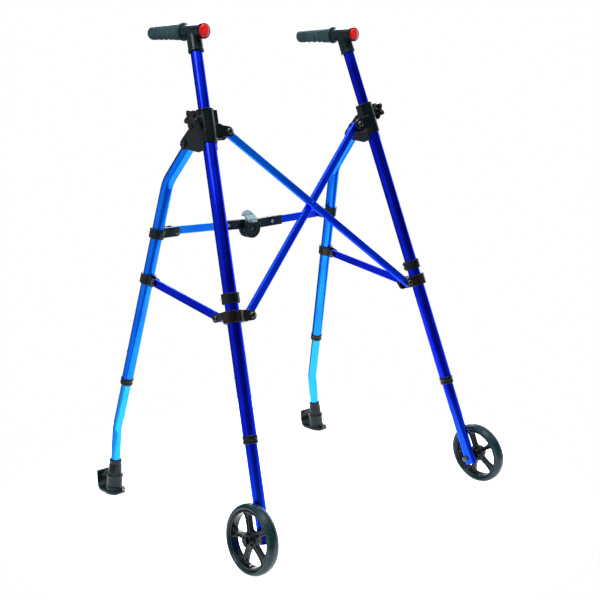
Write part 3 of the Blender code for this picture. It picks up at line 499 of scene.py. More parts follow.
MATERIALS = {
    "navy_tube": anodised("anodised_navy", NAVY, NAVY_DEEP, LEG_DIR, 0.17),
    # Front extension: navy, turning lighter blue towards the bottom (below z 0.24 m).
    "front_inner": anodised("anodised_navy_lower", NAVY, NAVY_DEEP, LEG_DIR, 0.19,
                            ("Z", 0.24, 0.08, BLUE)),
    "rear_tube": anodised("anodised_azure", AZURE, AZURE_DEEP, REAR_DIR, 0.20),
    "rear_inner": anodised("anodised_cyan", CYAN, CYAN_DEEP, REAR_DIR, 0.24),
    "brace": anodised("anodised_blue", BLUE, BLUE_DEEP, BAR_DIR, 0.38),
    # Front brace bar: blue, with a painted highlight in azure over its upper end (from z 0.57 m
    # up).
    "front_brace": anodised("anodised_blue_painted_highlight_top", BLUE, BLUE_DEEP, BAR_DIR, 0.38,
                            ("Z", 0.57, 0.71, AZURE)),
    "link": anodised("anodised_dark_blue", NAVY, NAVY_DEEP, Y_AXIS, 0.22),
    # The crossbar's two halves are one part: the right half's sky blue is a painted lit copy and
    # the left half's mid blue a painted shaded copy of one anodised blue.
    "crossbar": anodised("anodised_sky_painted_lit_copy", CYAN, AZURE, X_AXIS, 0.32),
    "crossbar_painted_shade_copy": anodised("anodised_mid_blue_painted_shade_copy", BLUE, BLUE_DEEP, X_AXIS, 0.22),
    "black": plastic("black_moulding", (0.002, 0.004, 0.005), (0.012, 0.024, 0.028), 0.16),
    "teal": plastic("teal_black_moulding", (0.002, 0.008, 0.010), (0.014, 0.040, 0.048), 0.16),
    "bakelite": plastic("brown_black_moulding", (0.006, 0.003, 0.003), (0.024, 0.014, 0.012),
                        0.14, specular=0.24),
    "grip": rubber("grip_rubber", (0.016, 0.042, 0.048), (0.050, 0.100, 0.110), 0.34, 0.0),
    # Thumb paddle: its light teal-grey colour paints the highlight that light from above puts on
    # the tab's top.
    "paddle": rubber("paddle_painted_highlight", (0.210, 0.300, 0.310), (0.380, 0.480, 0.490), 0.44, 0.05),
    "tyre": rubber("tyre_rubber", (0.002, 0.018, 0.023), (0.008, 0.042, 0.050), 0.24, 0.0),
    "steel": plated("plated_steel", (0.62, 0.62, 0.64), 0.24),
    "dark_steel": plated("blackened_steel", (0.060, 0.066, 0.070), 0.22),
    "red": lens("red_lens"),
}


# --------------------------------------------------------------------- pieces
def piece(name, obj, body, look, stands_for=(), crease=35):
    """Finish a shape as a named piece of the object."""
    obj.name = obj.data.name = name + "_looks"
    obj.data.materials.clear()
    obj.data.materials.append(MATERIALS[look])
    obj.data.shade_smooth()
    obj.data.set_sharp_from_angle(angle=radians(crease))
    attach(obj, body)
    if stands_for:
        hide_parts(*stands_for)
    return obj


def mirrored(obj):
    mesh = obj.data.copy()
    mesh.transform(Matrix.Diagonal((-1, 1, 1, 1)))
    mesh.flip_normals()
    return loose(mesh)


def pair(name, obj, body, look, stands_for=(), crease=35):
    """The left piece and its mirrored right twin."""
    twin = mirrored(obj)
    for side, one in (("left_", obj), ("right_", twin)):
        piece(side + name, one, side + body, look, [side + node for node in stands_for],
              crease)


def bolt(point, direction, across, grip, head_r=0.0064, head=0.0036):
    """A button-head screw with a hex socket, its flat under-face at grip."""
    place = frame_at(point, direction, across)
    dome = turned([(0, grip + head), (head_r * 0.55, grip + head * 0.93),
                   (head_r * 0.88, grip + head * 0.58), (head_r, grip + head * 0.12),
                   (head_r, grip), (0, grip)], place, 32, 0.0003)
    socket = plate(hexagon(head_r * 0.80), head * 1.4,
                   place @ Matrix.Translation((0, 0, grip + head * 1.15)))
    return cut(dome, socket)


# ------------------------------------------------------------ shared sizes
GAP = 0.0003
TUBE_R, TUBE_BORE = 0.0125, 0.0113
INNER_R, INNER_BORE = 0.0110, 0.0095
REAR_TUBE_R, REAR_BORE = 0.0113, 0.0099
REAR_INNER_R, REAR_INNER_BORE = 0.0095, 0.0081
PIN_R = 0.0030
CLEVIS, CHEEK = 0.0092, 0.0035
BAR_WIDTH, BAR_THICK, BAR_LAYER = 0.016, 0.008, 0.0046
RING_WALL = 0.0038
ELBOW_Z, KNEE_Z = 0.6447, 0.1320
EXTENSION_TRAVEL = 0.075
REAR_CHEEK = REAR_TUBE_R + 2 * GAP


def foot_on_leg(point):
    return KNOB + LEG_DIR * (point - KNOB).dot(LEG_DIR)


def on_rear_line(z):
    """The rear leg's straight axis at height z."""
    return REAR_RING + REAR_DIR * ((z - REAR_RING.z) / REAR_DIR.z)


FRONT_BUTTON = foot_on_leg(middle("left_front_snap_button"))
REAR_BUTTON = REAR_RING + REAR_DIR * (middle("left_rear_snap_button") - REAR_RING).dot(REAR_DIR)


def filleted(corners, radius, steps=14):
    """A path through corners with its middle corners rounded."""
    path = [corners[0]]
    for before, corner, after in zip(corners, corners[1:], corners[2:]):
        way_in, way_out = (before - corner).normalized(), (after - corner).normalized()
        half = way_in.angle(way_out) / 2
        reach = radius * cos(half) / sin(half)
        centre = corner + (way_in + way_out).normalized() * (radius / sin(half))
        first = (corner + way_in * reach - centre).normalized()
        last = (corner + way_out * reach - centre).normalized()
        path += [centre + first.slerp(last, i / steps) * radius for i in range(steps + 1)]
    path.append(corners[-1])
    return path


def hollow_tube(corners, fillet, outer, bore):
    path = filleted(corners, fillet)
    ends = [path[0] + (path[0] - path[1]).normalized() * 0.002,
            path[-1] + (path[-1] - path[-2]).normalized() * 0.002]
    return cut(swept(path, outer), swept([ends[0], *path[1:-1], ends[1]], bore))


def drill(point, direction, radius, low=-0.03, high=0.03):
    across = X_AXIS if abs(direction.x) < 0.9 else Y_AXIS
    return rod(radius, low, high, frame_at(point, direction, across), 0, 32)


def collar(height, tube_r, inner_r, place):
    """A clamped end collar with a moulded waist."""
    lip, outer = tube_r + 0.0006, tube_r + 0.0014
    profile = [(lip, height + 0.0075), (outer, height + 0.0062), (outer, height + 0.0012),
               (outer - 0.0006, height + 0.0006), (outer - 0.0006, height - 0.0014),
               (outer, height - 0.0020), (outer, height - 0.0062), (lip, height - 0.0075),
               (inner_r + GAP, height - 0.0075), (inner_r + GAP, height - 0.0045),
               (tube_r + GAP, height - 0.0045), (tube_r + GAP, height + 0.0075)]
    return turned(profile, place, soft=0.0004)


def button_slot(button, along, out):
    """The slot in an inner tube that a snap button runs in as the leg changes length."""
    wide = 0.0072
    return block((0.012, wide, EXTENSION_TRAVEL + wide), (0.008, 0, EXTENSION_TRAVEL / 2),
                 frame_at(button, along, out), 0.002)


def snap_button(point, direction, along, node):
    place = frame_at(point, direction, along)
    tip = rise_of(node, place)[1]
    profile = [(0, tip), (0.0012, tip - 0.0001), (0.0022, tip - 0.0005), (0.0029, tip - 0.0013),
               (0.0030, tip - 0.0020), (0.0030, 0.0038), (0, 0.0038)]
    return turned(profile, place, 32)


def slotted(crown, size, height, place):
    """A nut's crown with three slots right across it."""
    return cut(crown, *[block(size, (0, 0, height),
                              place @ Matrix.Rotation(radians(60 * i), 4, 'Z'), 0)
                        for i in range(3)])


# ------------------------------------------------------- front leg and wheel
def front_leg_tube():
    low, high = rise_of("left_front_leg_tube")
    tube = sleeve(TUBE_R, TUBE_BORE, low, high, LEG)
    return cut(tube, drill(FRONT_BUTTON, BUTTON_DIR, 0.0034, 0.004, 0.02),
               drill(FRONT_BUTTON - LEG_DIR * 0.0258, BUTTON_DIR, 0.0033, 0.004, 0.02))


def front_leg_extension():
    low, high = rise_of("left_front_leg_extension")
    tube = sleeve(INNER_R, INNER_BORE, low, high, LEG)
    return cut(tube, button_slot(FRONT_BUTTON, LEG_DIR, BUTTON_DIR), drill(AXLE, OUT, 0.0043))


WHEEL = frame_at(AXLE + OUT * 0.0270, OUT, BACK)
AXLE_PLACE = frame_at(AXLE, OUT, BACK)


def tyre():
    """A solid rubber tyre: bead line, shoulder ribs and two fine tread grooves."""
    half = [(0.0523, 0.0078), (0.0527, 0.0086), (0.0540, 0.0101), (0.0553, 0.0109),
            (0.0560, 0.0110), (0.0565, 0.0104), (0.0571, 0.0103), (0.0576, 0.0108),
            (0.0590, 0.0102), (0.0600, 0.0094), (0.0609, 0.0077), (0.0611, 0.0071),
            (0.0607, 0.0068), (0.0607, 0.0063), (0.0617, 0.0058), (0.0622, 0.0040),
            (0.0624, 0.0018)]
    profile = [*half, (0.0625, 0), *[(radius, -width) for radius, width in reversed(half)]]
    return turned(profile, WHEEL, 112)


def wheel_rim():
    """Hub, five flared spokes with raised edges, and a felloe, in one moulding."""
    seat = 0.0520
    parts = [turned([(seat - 0.0042, 0.0088), (seat, 0.0080), (seat, -0.0080),
                     (seat - 0.0042, -0.0088)], WHEEL, 96),
             rod(0.0122, -0.0134, 0.0134, WHEEL, 0.0010),
             rod(0.0165, -0.0056, 0.0056, WHEEL, 0.0010)]
    for index in range(5):
        turn = WHEEL @ Matrix.Rotation(radians(72 * index + 90), 4, 'Z')
        web = [(0.008, -0.0044), (0.030, -0.0038), (0.0415, -0.0050), (0.0495, -0.0098),
               (0.0495, 0.0098), (0.0415, 0.0050), (0.030, 0.0038), (0.008, 0.0044)]
        parts.append(plate(web, 0.0052, turn))
        for side in (-1, 1):
            edge = [(0.008, 0.0026), (0.030, 0.0021), (0.0415, 0.0032), (0.0495, 0.0082),
                    (0.0495, 0.0102), (0.0415, 0.0054), (0.030, 0.0042), (0.008, 0.0048)]
            parts.append(plate([(x, y * side) for x, y in edge], 0.0098, turn))
    cuts = [sleeve(0.0098, 0.0066, low, low + 0.0040, WHEEL, 0.0004) for low in (0.0112, -0.0152)]
    cuts.append(drill(AXLE, OUT, 0.0046, -0.03, 0.06))
    return moulded(parts, WHEEL, cuts, 0.0008, 3, 0.30)


def axle_bolt():
    """The axle: a domed head inboard, a spacer, and a castellated nut on the hub."""
    spindle = turned([(0, 0.0440), (0.0040, 0.0440), (0.0040, 0.0130), (0.0062, 0.0130),
                      (0.0062, 0.0114), (0.0040, 0.0114), (0.0040, -0.0114),
                      (0.0068, -0.0114), (0.0068, -0.0136), (0.0062, -0.0158),
                      (0.0045, -0.0170), (0, -0.0174)], AXLE_PLACE, 40)
    crown = turned([(0, 0.0464), (0.0030, 0.0464), (0.0048, 0.0458), (0.0056, 0.0446),
                    (0.0056, 0.0420), (0, 0.0420)], AXLE_PLACE, 40)
    hexed = plate(hexagon(0.0110), 0.0030,
                  AXLE_PLACE @ Matrix.Translation((0, 0, 0.0431)), 0.0004, 2)
    return merged([spindle, slotted(crown, (0.0012, 0.02, 0.004), 0.0460, AXLE_PLACE), hexed])


def make_front_leg():
    pair("front_leg_tube", front_leg_tube(), "frame", "navy_tube",
         ["front_leg_tube"])
    height = mid_rise("left_front_leg_collar")
    pair("front_leg_collar", collar(height, TUBE_R, INNER_R, LEG), "frame", "black",
         ["front_leg_collar"])
    pair("front_leg_extension", front_leg_extension(), "front_extension", "front_inner",
         ["front_leg_extension"])
    pair("front_snap_button", snap_button(FRONT_BUTTON, BUTTON_DIR, LEG_DIR,
                                          "left_front_snap_button"),
         "front_button", "steel", ["front_snap_button"])
    pair("axle_bolt", axle_bolt(), "front_extension", "dark_steel",
         ["axle_bolt"])
    pair("tyre", tyre(), "wheel", "tyre", ["tyre"], 50)
    pair("wheel_rim", wheel_rim(), "wheel", "black", ["wheel_rim"], 50)


# ------------------------------------------------ handle, bracket and knob
GRIP_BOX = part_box("left_grip")
GRIP_MIDDLE = middle("left_grip")
GRIP_END = frame_at(Vector((GRIP_MIDDLE.x, GRIP_BOX[1].y, GRIP_MIDDLE.z)), Y_AXIS, X_AXIS)
LENS = frame_at(Vector((GRIP_MIDDLE.x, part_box("left_reflector")[0].y + 0.0030,
                        GRIP_MIDDLE.z)), Y_AXIS, X_AXIS)
GRIP_LENGTH = GRIP_BOX[1].y - GRIP_BOX[0].y


def grip():
    """A soft grip: flange, barrel with four finger hollows, rounded end."""
    outline = rounded([(0, 0), (0.0100, 0), (0.0122, -0.0030), (0.0131, -0.0300),
                       (0.0136, -0.0580), (0.0145, -0.0820), (0.0148, 0.0050 - GRIP_LENGTH),
                       (0.0165, 0.0036 - GRIP_LENGTH), (0.0165, -GRIP_LENGTH),
                       (0.0094, -GRIP_LENGTH), (0.0094, -0.0088), (0, -0.0088)], 0.0020)
    dense = []
    for one, two in zip(outline, outline[1:]):
        steps = max(1, int(abs(two[1] - one[1]) / 0.0011)) if one[0] > 0.0100 < two[0] else 1
        dense += [tuple(Vector(one).lerp(Vector(two), i / steps)) for i in range(steps)]
    dense.append(tuple(outline[-1]))
    body = turned(dense, Matrix(), 72)
    for vertex in body.data.vertices:
        radius = (vertex.co.x ** 2 + vertex.co.y ** 2) ** 0.5
        along = (vertex.co.z + 0.0790) / 0.0640
        if radius < 0.0115 or not 0 < along < 1:
            continue
        under = max(0.0, min(1.0, 0.55 + 0.9 * vertex.co.y / radius))
        fade = min(1.0, 8 * along, 8 * (1 - along))
        hollow = (0.5 - 0.5 * cos(2 * pi * 4 * along)) ** 0.6
        shrink = 1 - 0.13 * under * fade * hollow
        vertex.co.x *= shrink
        vertex.co.y *= shrink
    body.data.transform(GRIP_END)
    return body


def lens_face():
    profile = [(0, -0.0029), (0.0050, -0.0026), (0.0090, -0.0016), (0.0112, -0.0006),
               (0.0118, 0.0004), (0.0118, 0.0030), (0, 0.0030)]
    return turned(profile, LENS)


def lens_bezel():
    return turned([(0, 0.0032), (0.0120, 0.0032), (0.0120, 0.0006), (0.0128, -0.0002),
                   (0.0137, 0.0002), (0.0140, 0.0012), (0.0140, 0.0054), (0.0134, 0.0058),
                   (0, 0.0058)], LENS)


def handle_tee():
    barrel_end = GRIP_BOX[0].y - LENS.translation.y
    low = rise_of("left_handle_tee")[0]
    top = (GRIP_MIDDLE.z - KNOB.z) / LEG_DIR.z
    parts = [rod(0.0120, 0.0062, barrel_end, LENS, 0.0008),
             rod(0.0126, barrel_end - 0.0050, barrel_end - 0.0002, LENS, 0.0005),
             rod(0.0090, barrel_end - 0.002, barrel_end + GRIP_LENGTH - 0.0100, LENS),
             rod(0.0141, low, top, LEG, 0.0012),
             rod(0.0148, low, low + 0.0050, LEG, 0.0008)]
    parts.append(rod(0.0052, 0.0120, 0.0158, frame_at(tee_screw_foot(), BACK, LEG_DIR), 0.0006))
    return moulded(parts, LEG, [rod(INNER_R + GAP, low - 0.01, top - 0.0055, LEG, 0)],
                   0.0006, 4, 0.25)


def tee_screw_foot():
    """The point on the leg's axis that the tee's set screw points at."""
    low = rise_of("left_handle_tee")[0]
    return foot_on_leg(LEG @ Vector((0, 0, low + 0.0134)))


def tee_screw():
    return bolt(tee_screw_foot(), BACK, LEG_DIR, 0.0150, 0.0035, 0.0020)


def barrel_screw():
    point = LENS @ Vector((0, 0, GRIP_BOX[0].y - LENS.translation.y - 0.0120))
    return bolt(point, -OUT, BACK, 0.0112, 0.0026, 0.0012)


BRACE_FOOT = foot_on_leg(BRACE_TOP)
BRACKET_LOW = -0.0434                               # the socket's mouth, down from the knob
KNOB_PLACE = frame_at(KNOB, OUT, BACK)


def clamp_bracket():
    low, high = BRACKET_LOW, rise_of("left_clamp_bracket")[1]
    parts = [rod(0.0160, low, high, LEG, 0.0008),
             rod(0.0166, high - 0.0040, high - 0.0002, LEG, 0.0006)]
    away = REAR_PIN - BRACE_FOOT
    pin = (away.dot(BACK), away.dot(LEG_DIR))
    outline = [(-0.004, -0.034), (0.016, -0.034), *arc(pin, 0.0118, -105, 62, 14),
               (0.016, 0.024), (-0.004, 0.024)]
    for side in (-1, 1):
        offset = OUT * side * (REAR_CHEEK + CHEEK / 2)
        parts.append(plate(outline, CHEEK, frame_at(BRACE_FOOT + offset, OUT, BACK)))
        rim = frame_at(REAR_PIN + OUT * side * (REAR_CHEEK + CHEEK), OUT * side, BACK)
        parts.append(rod(0.0100, -0.002, 0.0005, rim, 0.0004))
    across = 2 * (REAR_CHEEK + CHEEK)
    parts.append(block((across, 0.016, 0.038), (0, 0.014, -0.001),
                       frame_at(BRACE_FOOT, LEG_DIR, OUT), 0.001))
    reach = (BRACE_TOP - BRACE_FOOT).length
    for side in (-1, 1):
        ear = frame_at(BRACE_FOOT + FRONT_NORMAL * side * (CLEVIS + CHEEK / 2), FRONT_NORMAL,
                       INBOARD)
        parts.append(plate(lug(reach, 0.0100, 0.0140), CHEEK, ear))
    parts.append(block((0.016, 2 * (CLEVIS + CHEEK) - GAP, 0.028), (0.017, 0, 0),
                       frame_at(BRACE_FOOT, LEG_DIR, INBOARD), 0.001))
    parts.append(rod(0.0080, -0.0185, 0.0208, KNOB_PLACE, 0.0006))
    parts.append(block((0.0085, 0.0170, 0.030), (-0.0160, -0.0030, high - 0.0165), LEG, 0.0010))
    cuts = [rod(TUBE_R + GAP, low - 0.04, rise_of("left_front_leg_tube")[1] + GAP, LEG, 0, 64),
            rod(INNER_R + GAP, low, high + 0.01, LEG, 0, 64),
            rod(0.0034, 0.005, 0.03, KNOB_PLACE, 0),
            drill(BRACE_TOP, FRONT_NORMAL, 0.0034), drill(REAR_PIN, OUT, 0.0044)]
    return moulded(parts, LEG, cuts, 0.0006, 3, 0.25)


def star(lobes, tip, waist, steps=10):
    points = []
    for index in range(lobes * steps):
        angle = 360 * index / (lobes * steps)
        wave = (1 + cos(radians(angle * lobes))) / 2
        radius = waist + (tip - waist) * wave ** 0.7
        points.append((radius * cos(radians(angle)), radius * sin(radians(angle))))
    return points


def clamp_knob():
    """A five-lobed knob on a stem, with a dished face and a steel stud."""
    head = plate(star(5, 0.0180, 0.0106), 0.0085,
                 KNOB_PLACE @ Matrix.Translation((0, 0, 0.0325)), 0.0020, 5)
    dish = turned([(0, 0.0380), (0.0078, 0.0380), (0.0066, 0.0352), (0, 0.0348)],
                  KNOB_PLACE, 40)
    stem = turned([(0, 0.0216), (0.0082, 0.0216), (0.0086, 0.0222), (0.0060, 0.0248),
                   (0.0060, 0.0270), (0.0084, 0.0295), (0, 0.0295)], KNOB_PLACE, 40)
    return merged([cut(head, dish), stem])


def knob_stud():
    return turned([(0, INNER_R + GAP), (0.0026, INNER_R + GAP), (PIN_R, INNER_R + 0.0007),
                   (PIN_R, 0.0222), (0, 0.0222)], KNOB_PLACE, 32)


def shank(place, half_length, radius):
    return rod(radius, -half_length, half_length, place, 0)


def headed(point, direction, across, half_grip, radius, head_r, head):
    """A bolt through a joint, with a button head on each end."""
    core = shank(frame_at(point, direction, across), half_grip + head * 0.5, radius)
    return merged([core, *[bolt(point, way, across, half_grip, head_r, head)
                           for way in (direction, -direction)]])


def castellated(point, direction, across, half_grip, radius, head_r, head):
    """A bolt whose nut has a slotted crown; the nut is on the direction's side."""
    place = frame_at(point, direction, across)
    core = shank(place, half_grip + head * 0.5, radius)
    hexed = plate(hexagon(head_r * 1.74), head * 0.6,
                  place @ Matrix.Translation((0, 0, half_grip + head * 0.3)), 0.0004, 2)
    crown = turned([(0, half_grip), (head_r * 0.80, half_grip), (head_r * 0.80,
                    half_grip + head * 0.94), (head_r * 0.72, half_grip + head),
                    (head_r * 0.44, half_grip + head), (head_r * 0.38, half_grip + head * 0.80),
                    (0, half_grip + head * 0.80)], place, 36)
    slot = (head_r * 0.24, head_r * 3, head)
    return merged([core, hexed, slotted(crown, slot, half_grip + head * 1.2, place),
                   bolt(point, -direction, across, half_grip, head_r, head)])


def make_handle():
    low, high = rise_of("left_handle_post")
    pair("handle_post", sleeve(INNER_R, INNER_BORE, low, high, LEG), "handle", "navy_tube",
         ["handle_post"])
    pair("handle_tee", handle_tee(), "handle", "teal", ["handle_tee"], 50)
    pair("tee_screw", tee_screw(), "handle", "steel")
    pair("barrel_screw", barrel_screw(), "handle", "black")
    pair("grip", grip(), "handle", "grip", ["grip"], 60)
    pair("reflector", lens_face(), "handle", "red", ["reflector"])
    pair("reflector_bezel", lens_bezel(), "handle", "black")
    pair("clamp_bracket", clamp_bracket(), "frame", "black",
         ["clamp_bracket"], 50)
    pair("clamp_knob", clamp_knob(), "knob", "bakelite", ["clamp_knob"], 50)
    pair("knob_stud", knob_stud(), "knob", "steel")
    pair("brace_bolt", headed(BRACE_TOP, FRONT_NORMAL, INBOARD, CLEVIS + CHEEK + GAP, PIN_R,
                              0.0065, 0.0038), "frame", "dark_steel",
         ["brace_bolt"])
    pair("rear_pivot_bolt", castellated(REAR_PIN, OUT, BACK, REAR_CHEEK + CHEEK + GAP + 0.0003,
                                        0.0040, 0.0078, 0.0045), "frame", "dark_steel",
         ["rear_pivot_bolt"])


# ------------------------------------------------------------ rear leg and foot
KNEE = on_rear_line(KNEE_Z)
FOOT = frame_at(KNEE - FOOT_DIR * (KNEE.z / FOOT_DIR.z), FOOT_DIR, OUT)
CROSS_RING = on_rear_line(CROSS_PIN.z)
LINK_RING = LINK_PIN + REAR_BACK * 0.024


def rear_leg_tube():
    elbow = on_rear_line(ELBOW_Z)
    top = REAR_PIN + (REAR_PIN - elbow).normalized() * 0.0110
    bottom = REAR @ Vector((0, 0, rise_of("left_rear_leg_tube", REAR)[0]))
    tube = hollow_tube([top, elbow, bottom], 0.060, REAR_TUBE_R, REAR_BORE)
    return cut(tube, drill(REAR_PIN, OUT, 0.0044, -0.02, 0.02),
               drill(REAR_BUTTON, REAR_BUTTON_DIR, 0.0034, 0.004, 0.02))


def rear_leg_extension():
    top = REAR @ Vector((0, 0, rise_of("left_rear_leg_extension", REAR)[1]))
    end = FOOT @ Vector((0, 0, 0.0130))
    tube = hollow_tube([top, KNEE, end], 0.050, REAR_INNER_R, REAR_INNER_BORE)
    return cut(tube, button_slot(REAR_BUTTON, REAR_DIR, REAR_BUTTON_DIR))


def foot_ferrule():
    """A tapered rubber ferrule with two moulded bands."""
    high = rise_of("left_foot_ferrule", FOOT)[1]
    profile = [(0, 0.0125), (REAR_INNER_R + GAP, 0.0125), (REAR_INNER_R + GAP, high),
               (0.0120, high), (0.0128, high - 0.0008), (0.0129, high - 0.0050),
               (0.0125, high - 0.0058), (0.0130, high - 0.0100), (0.0140, 0.0420),
               (0.0135, 0.0412), (0.0135, 0.0400), (0.0146, 0.0388), (0.0146, 0.0105),
               (0.0136, 0.0095), (0, 0.0095)]
    return turned(profile, FOOT, 64)


def skid_foot():
    """A ski-shaped glide with a raised tail, a rim round its plan and a banded cup."""
    low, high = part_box("left_skid_foot")
    front, tail, x = low.y, high.y - 0.0002, FOOT.translation.x
    tail_r, thick = 0.0255, 0.0052
    centre = (tail - tail_r, tail_r)
    side_outline = [(front + 0.005, 0), *arc(centre, tail_r, -90, 25, 20),
                    *arc(centre, tail_r - thick, 25, -90, 20), (front + 0.001, 0.0062),
                    (front + 0.001, 0.0035)]
    place = Matrix.Translation((x, 0, 0))
    runner = plate(side_outline, 0.08, frame_at(Vector((x, 0, 0)), X_AXIS, Y_AXIS))
    wide = 0.0205
    plan = rounded([(-wide, front + 0.017), (-0.008, front), (0.008, front),
                    (wide, front + 0.017), (wide, tail - 0.016), (0.012, tail + 0.002),
                    (-0.012, tail + 0.002), (-wide, tail - 0.016)], 0.008, True, 6)
    runner = cut(runner, plate(plan, 0.2, place), operation='INTERSECT')
    cup = turned([(0, 0.0030), (0.0172, 0.0030), (0.0172, 0.0100), (0.0163, 0.0130),
                  (0.0163, 0.0300), (0.0172, 0.0320), (0.0172, 0.0358), (0.0166, 0.0365),
                  (0, 0.0365)], FOOT, 64)
    return moulded([runner, cup], place, [rod(0.0149, 0.0092, 0.05, FOOT, 0, 64)], 0.0006, 2,
                   0.25)


def clevis(centre, pin_dir, towards, slot, reach, radius, root):
    return [plate(lug(reach, radius, root), CHEEK,
                  frame_at(centre + pin_dir * side * (slot + CHEEK / 2), pin_dir, towards), 0.0008)
            for side in (-1, 1)]


def leg_bracket(centre, ears, pin, pin_dir):
    """A ring on the rear leg that carries ears, drilled for their pin."""
    place = frame_at(centre, REAR_DIR, OUT)
    band = rod(REAR_TUBE_R + RING_WALL, -0.0100, 0.0100, place, 0.0012)
    return moulded([band, *ears], place, [rod(REAR_TUBE_R + GAP, -0.03, 0.03, place, 0, 64),
                                          drill(pin, pin_dir, 0.0032)], 0.0005, 3, 0.22)


def crossbar_bracket():
    ears = clevis(CROSS_RING, Y_AXIS, -X_AXIS, CLEVIS, CROSS_RING.x - CROSS_PIN.x, 0.0095,
                  0.0095)
    web = block((0.014, 2 * (CLEVIS + CHEEK), 0.019), (0.017, 0, 0),
                frame_at(CROSS_RING, Z_AXIS, -X_AXIS), 0.001)
    return leg_bracket(CROSS_RING, [*ears, web], CROSS_PIN, Y_AXIS)


LINK_SLOT = BAR_THICK / 2 + 2 * GAP


def link_bracket():
    ears = clevis(LINK_RING, OUT, -REAR_BACK, LINK_SLOT, 0.024, 0.0085, 0.0098)
    return leg_bracket(LINK_RING, ears, LINK_PIN, OUT)


def make_rear_leg():
    pair("rear_leg_tube", rear_leg_tube(), "rear_leg", "rear_tube",
         ["rear_leg_tube"])
    height = mid_rise("left_rear_leg_collar", REAR)
    pair("rear_leg_collar", collar(height, REAR_TUBE_R, REAR_INNER_R, REAR),
         "rear_leg", "black", ["rear_leg_collar"])
    pair("crossbar_bracket", crossbar_bracket(), "rear_leg", "teal",
         ["crossbar_bracket"], 50)
    pair("crossbar_pin", headed(CROSS_PIN, Y_AXIS, X_AXIS, CLEVIS + CHEEK - 0.0002, PIN_R,
                                0.0062, 0.0030), "rear_leg", "dark_steel")
    pair("link_bracket", link_bracket(), "rear_leg", "bakelite",
         ["link_bracket"], 50)
    pair("link_pin", headed(LINK_PIN, OUT, BACK, LINK_SLOT + CHEEK - 0.0002, PIN_R, 0.0062,
                            0.0030), "rear_leg", "dark_steel")
    pair("rear_leg_extension", rear_leg_extension(), "rear_extension", "rear_inner",
         ["rear_leg_extension"])
    pair("rear_snap_button", snap_button(REAR_BUTTON, REAR_BUTTON_DIR, REAR_DIR,
                                         "left_rear_snap_button"),
         "rear_button", "steel", ["rear_snap_button"])
    pair("foot_ferrule", foot_ferrule(), "rear_extension", "black",
         ["foot_ferrule"])
    pair("skid_foot", skid_foot(), "rear_extension", "teal", ["skid_foot"], 50)


# ---------------------------------------------------- slider, links and brace
SLIDER_FOOT = foot_on_leg(SLIDER_PIN)
SLIDER_EAR = SLIDER_FOOT + BACK * 0.0397 + LEG_DIR * 0.0044
SLIDER_PLAY = 0.0028
EAR_SLOT = BAR_THICK / 2 + SLIDER_PLAY


def slider():
    """The runner: an oval ring on the leg, the brace's ear inboard, the link's behind."""
    place = frame_at(SLIDER_FOOT, LEG_DIR, OUT)
    half = 0.0110
    parts = [plate(capsule(SLIDER_PLAY, 0.0167, 24), 2 * half, place, 0.0012, 4),
             plate(capsule(SLIDER_PLAY, 0.0170, 24), 0.0030,
                   place @ Matrix.Translation((0, 0, half - 0.0016)), 0.0008)]
    parts += clevis(SLIDER_FOOT, FRONT_NORMAL, INBOARD, CLEVIS,
                    (SLIDER_PIN - SLIDER_FOOT).length, 0.0095, half - 0.0004)
    parts.append(block((0.011, 2 * (CLEVIS + CHEEK - 0.0004), 2 * half - 0.0004),
                       (0.0175, 0, 0), frame_at(SLIDER_FOOT, LEG_DIR, INBOARD), 0.001))
    ear_foot = SLIDER_FOOT + LEG_DIR * 0.0044
    parts += clevis(ear_foot, OUT, BACK, EAR_SLOT, 0.0397, 0.0085, half - 0.0048)
    parts.append(block((2 * (EAR_SLOT + CHEEK - 0.0004), 0.009, 0.0122), (0, 0.0165, 0.0044),
                       place, 0.0008))
    groove = frame_at(SLIDER_FOOT + BUTTON_DIR * 0.0122, LEG_DIR, OUT)
    cuts = [plate(capsule(SLIDER_PLAY, TUBE_R + 2 * GAP, 24), 0.08, place),
            rod(0.0045, -0.03, 0.03, groove, 0, 32),
            drill(SLIDER_PIN, FRONT_NORMAL, 0.0032), drill(SLIDER_EAR, OUT, 0.0032)]
    return moulded(parts, place, cuts, 0.0005, 3, 0.22)


def stop_collar():
    """A split clamp ring with two ears drawn together by a screw."""
    place = LEG @ Matrix.Translation((0, 0, mid_rise("left_stop_collar")))
    ring = [rod(TUBE_R + RING_WALL, -0.0095, 0.0095, place, 0.0010),
            rod(TUBE_R + RING_WALL + 0.0005, 0.0062, 0.0092, place, 0.0008),
            block((0.011, 0.012, 0.013), (0, 0.0155, 0), place, 0.001)]
    cuts = [rod(TUBE_R + GAP, -0.03, 0.03, place, 0, 64),
            block((0.0016, 0.02, 0.03), (0, 0.0200, 0), place, 0)]
    return moulded(ring, place, cuts, 0.0005, 3, 0.22)


def collar_screw():
    point = LEG @ Vector((0, 0.0186, mid_rise("left_stop_collar")))
    return headed(point, OUT, BACK, 0.0052, 0.0016, 0.0030, 0.0030)


def flat_bar(first, last, direction, layer, holes):
    """A flat-oval drawn bar with round ends, drilled for its pins."""
    run = last - first
    place = frame_at((first + last) / 2 + direction * layer, direction, run)
    bar = plate(capsule(run.length / 2, BAR_WIDTH / 2, 20), BAR_THICK, place, 0.0034, 8)
    return cut(bar, *(drill(point, direction, 0.0034) for point in holes))


def flip(point):
    return Vector((-point.x, point.y, point.z))


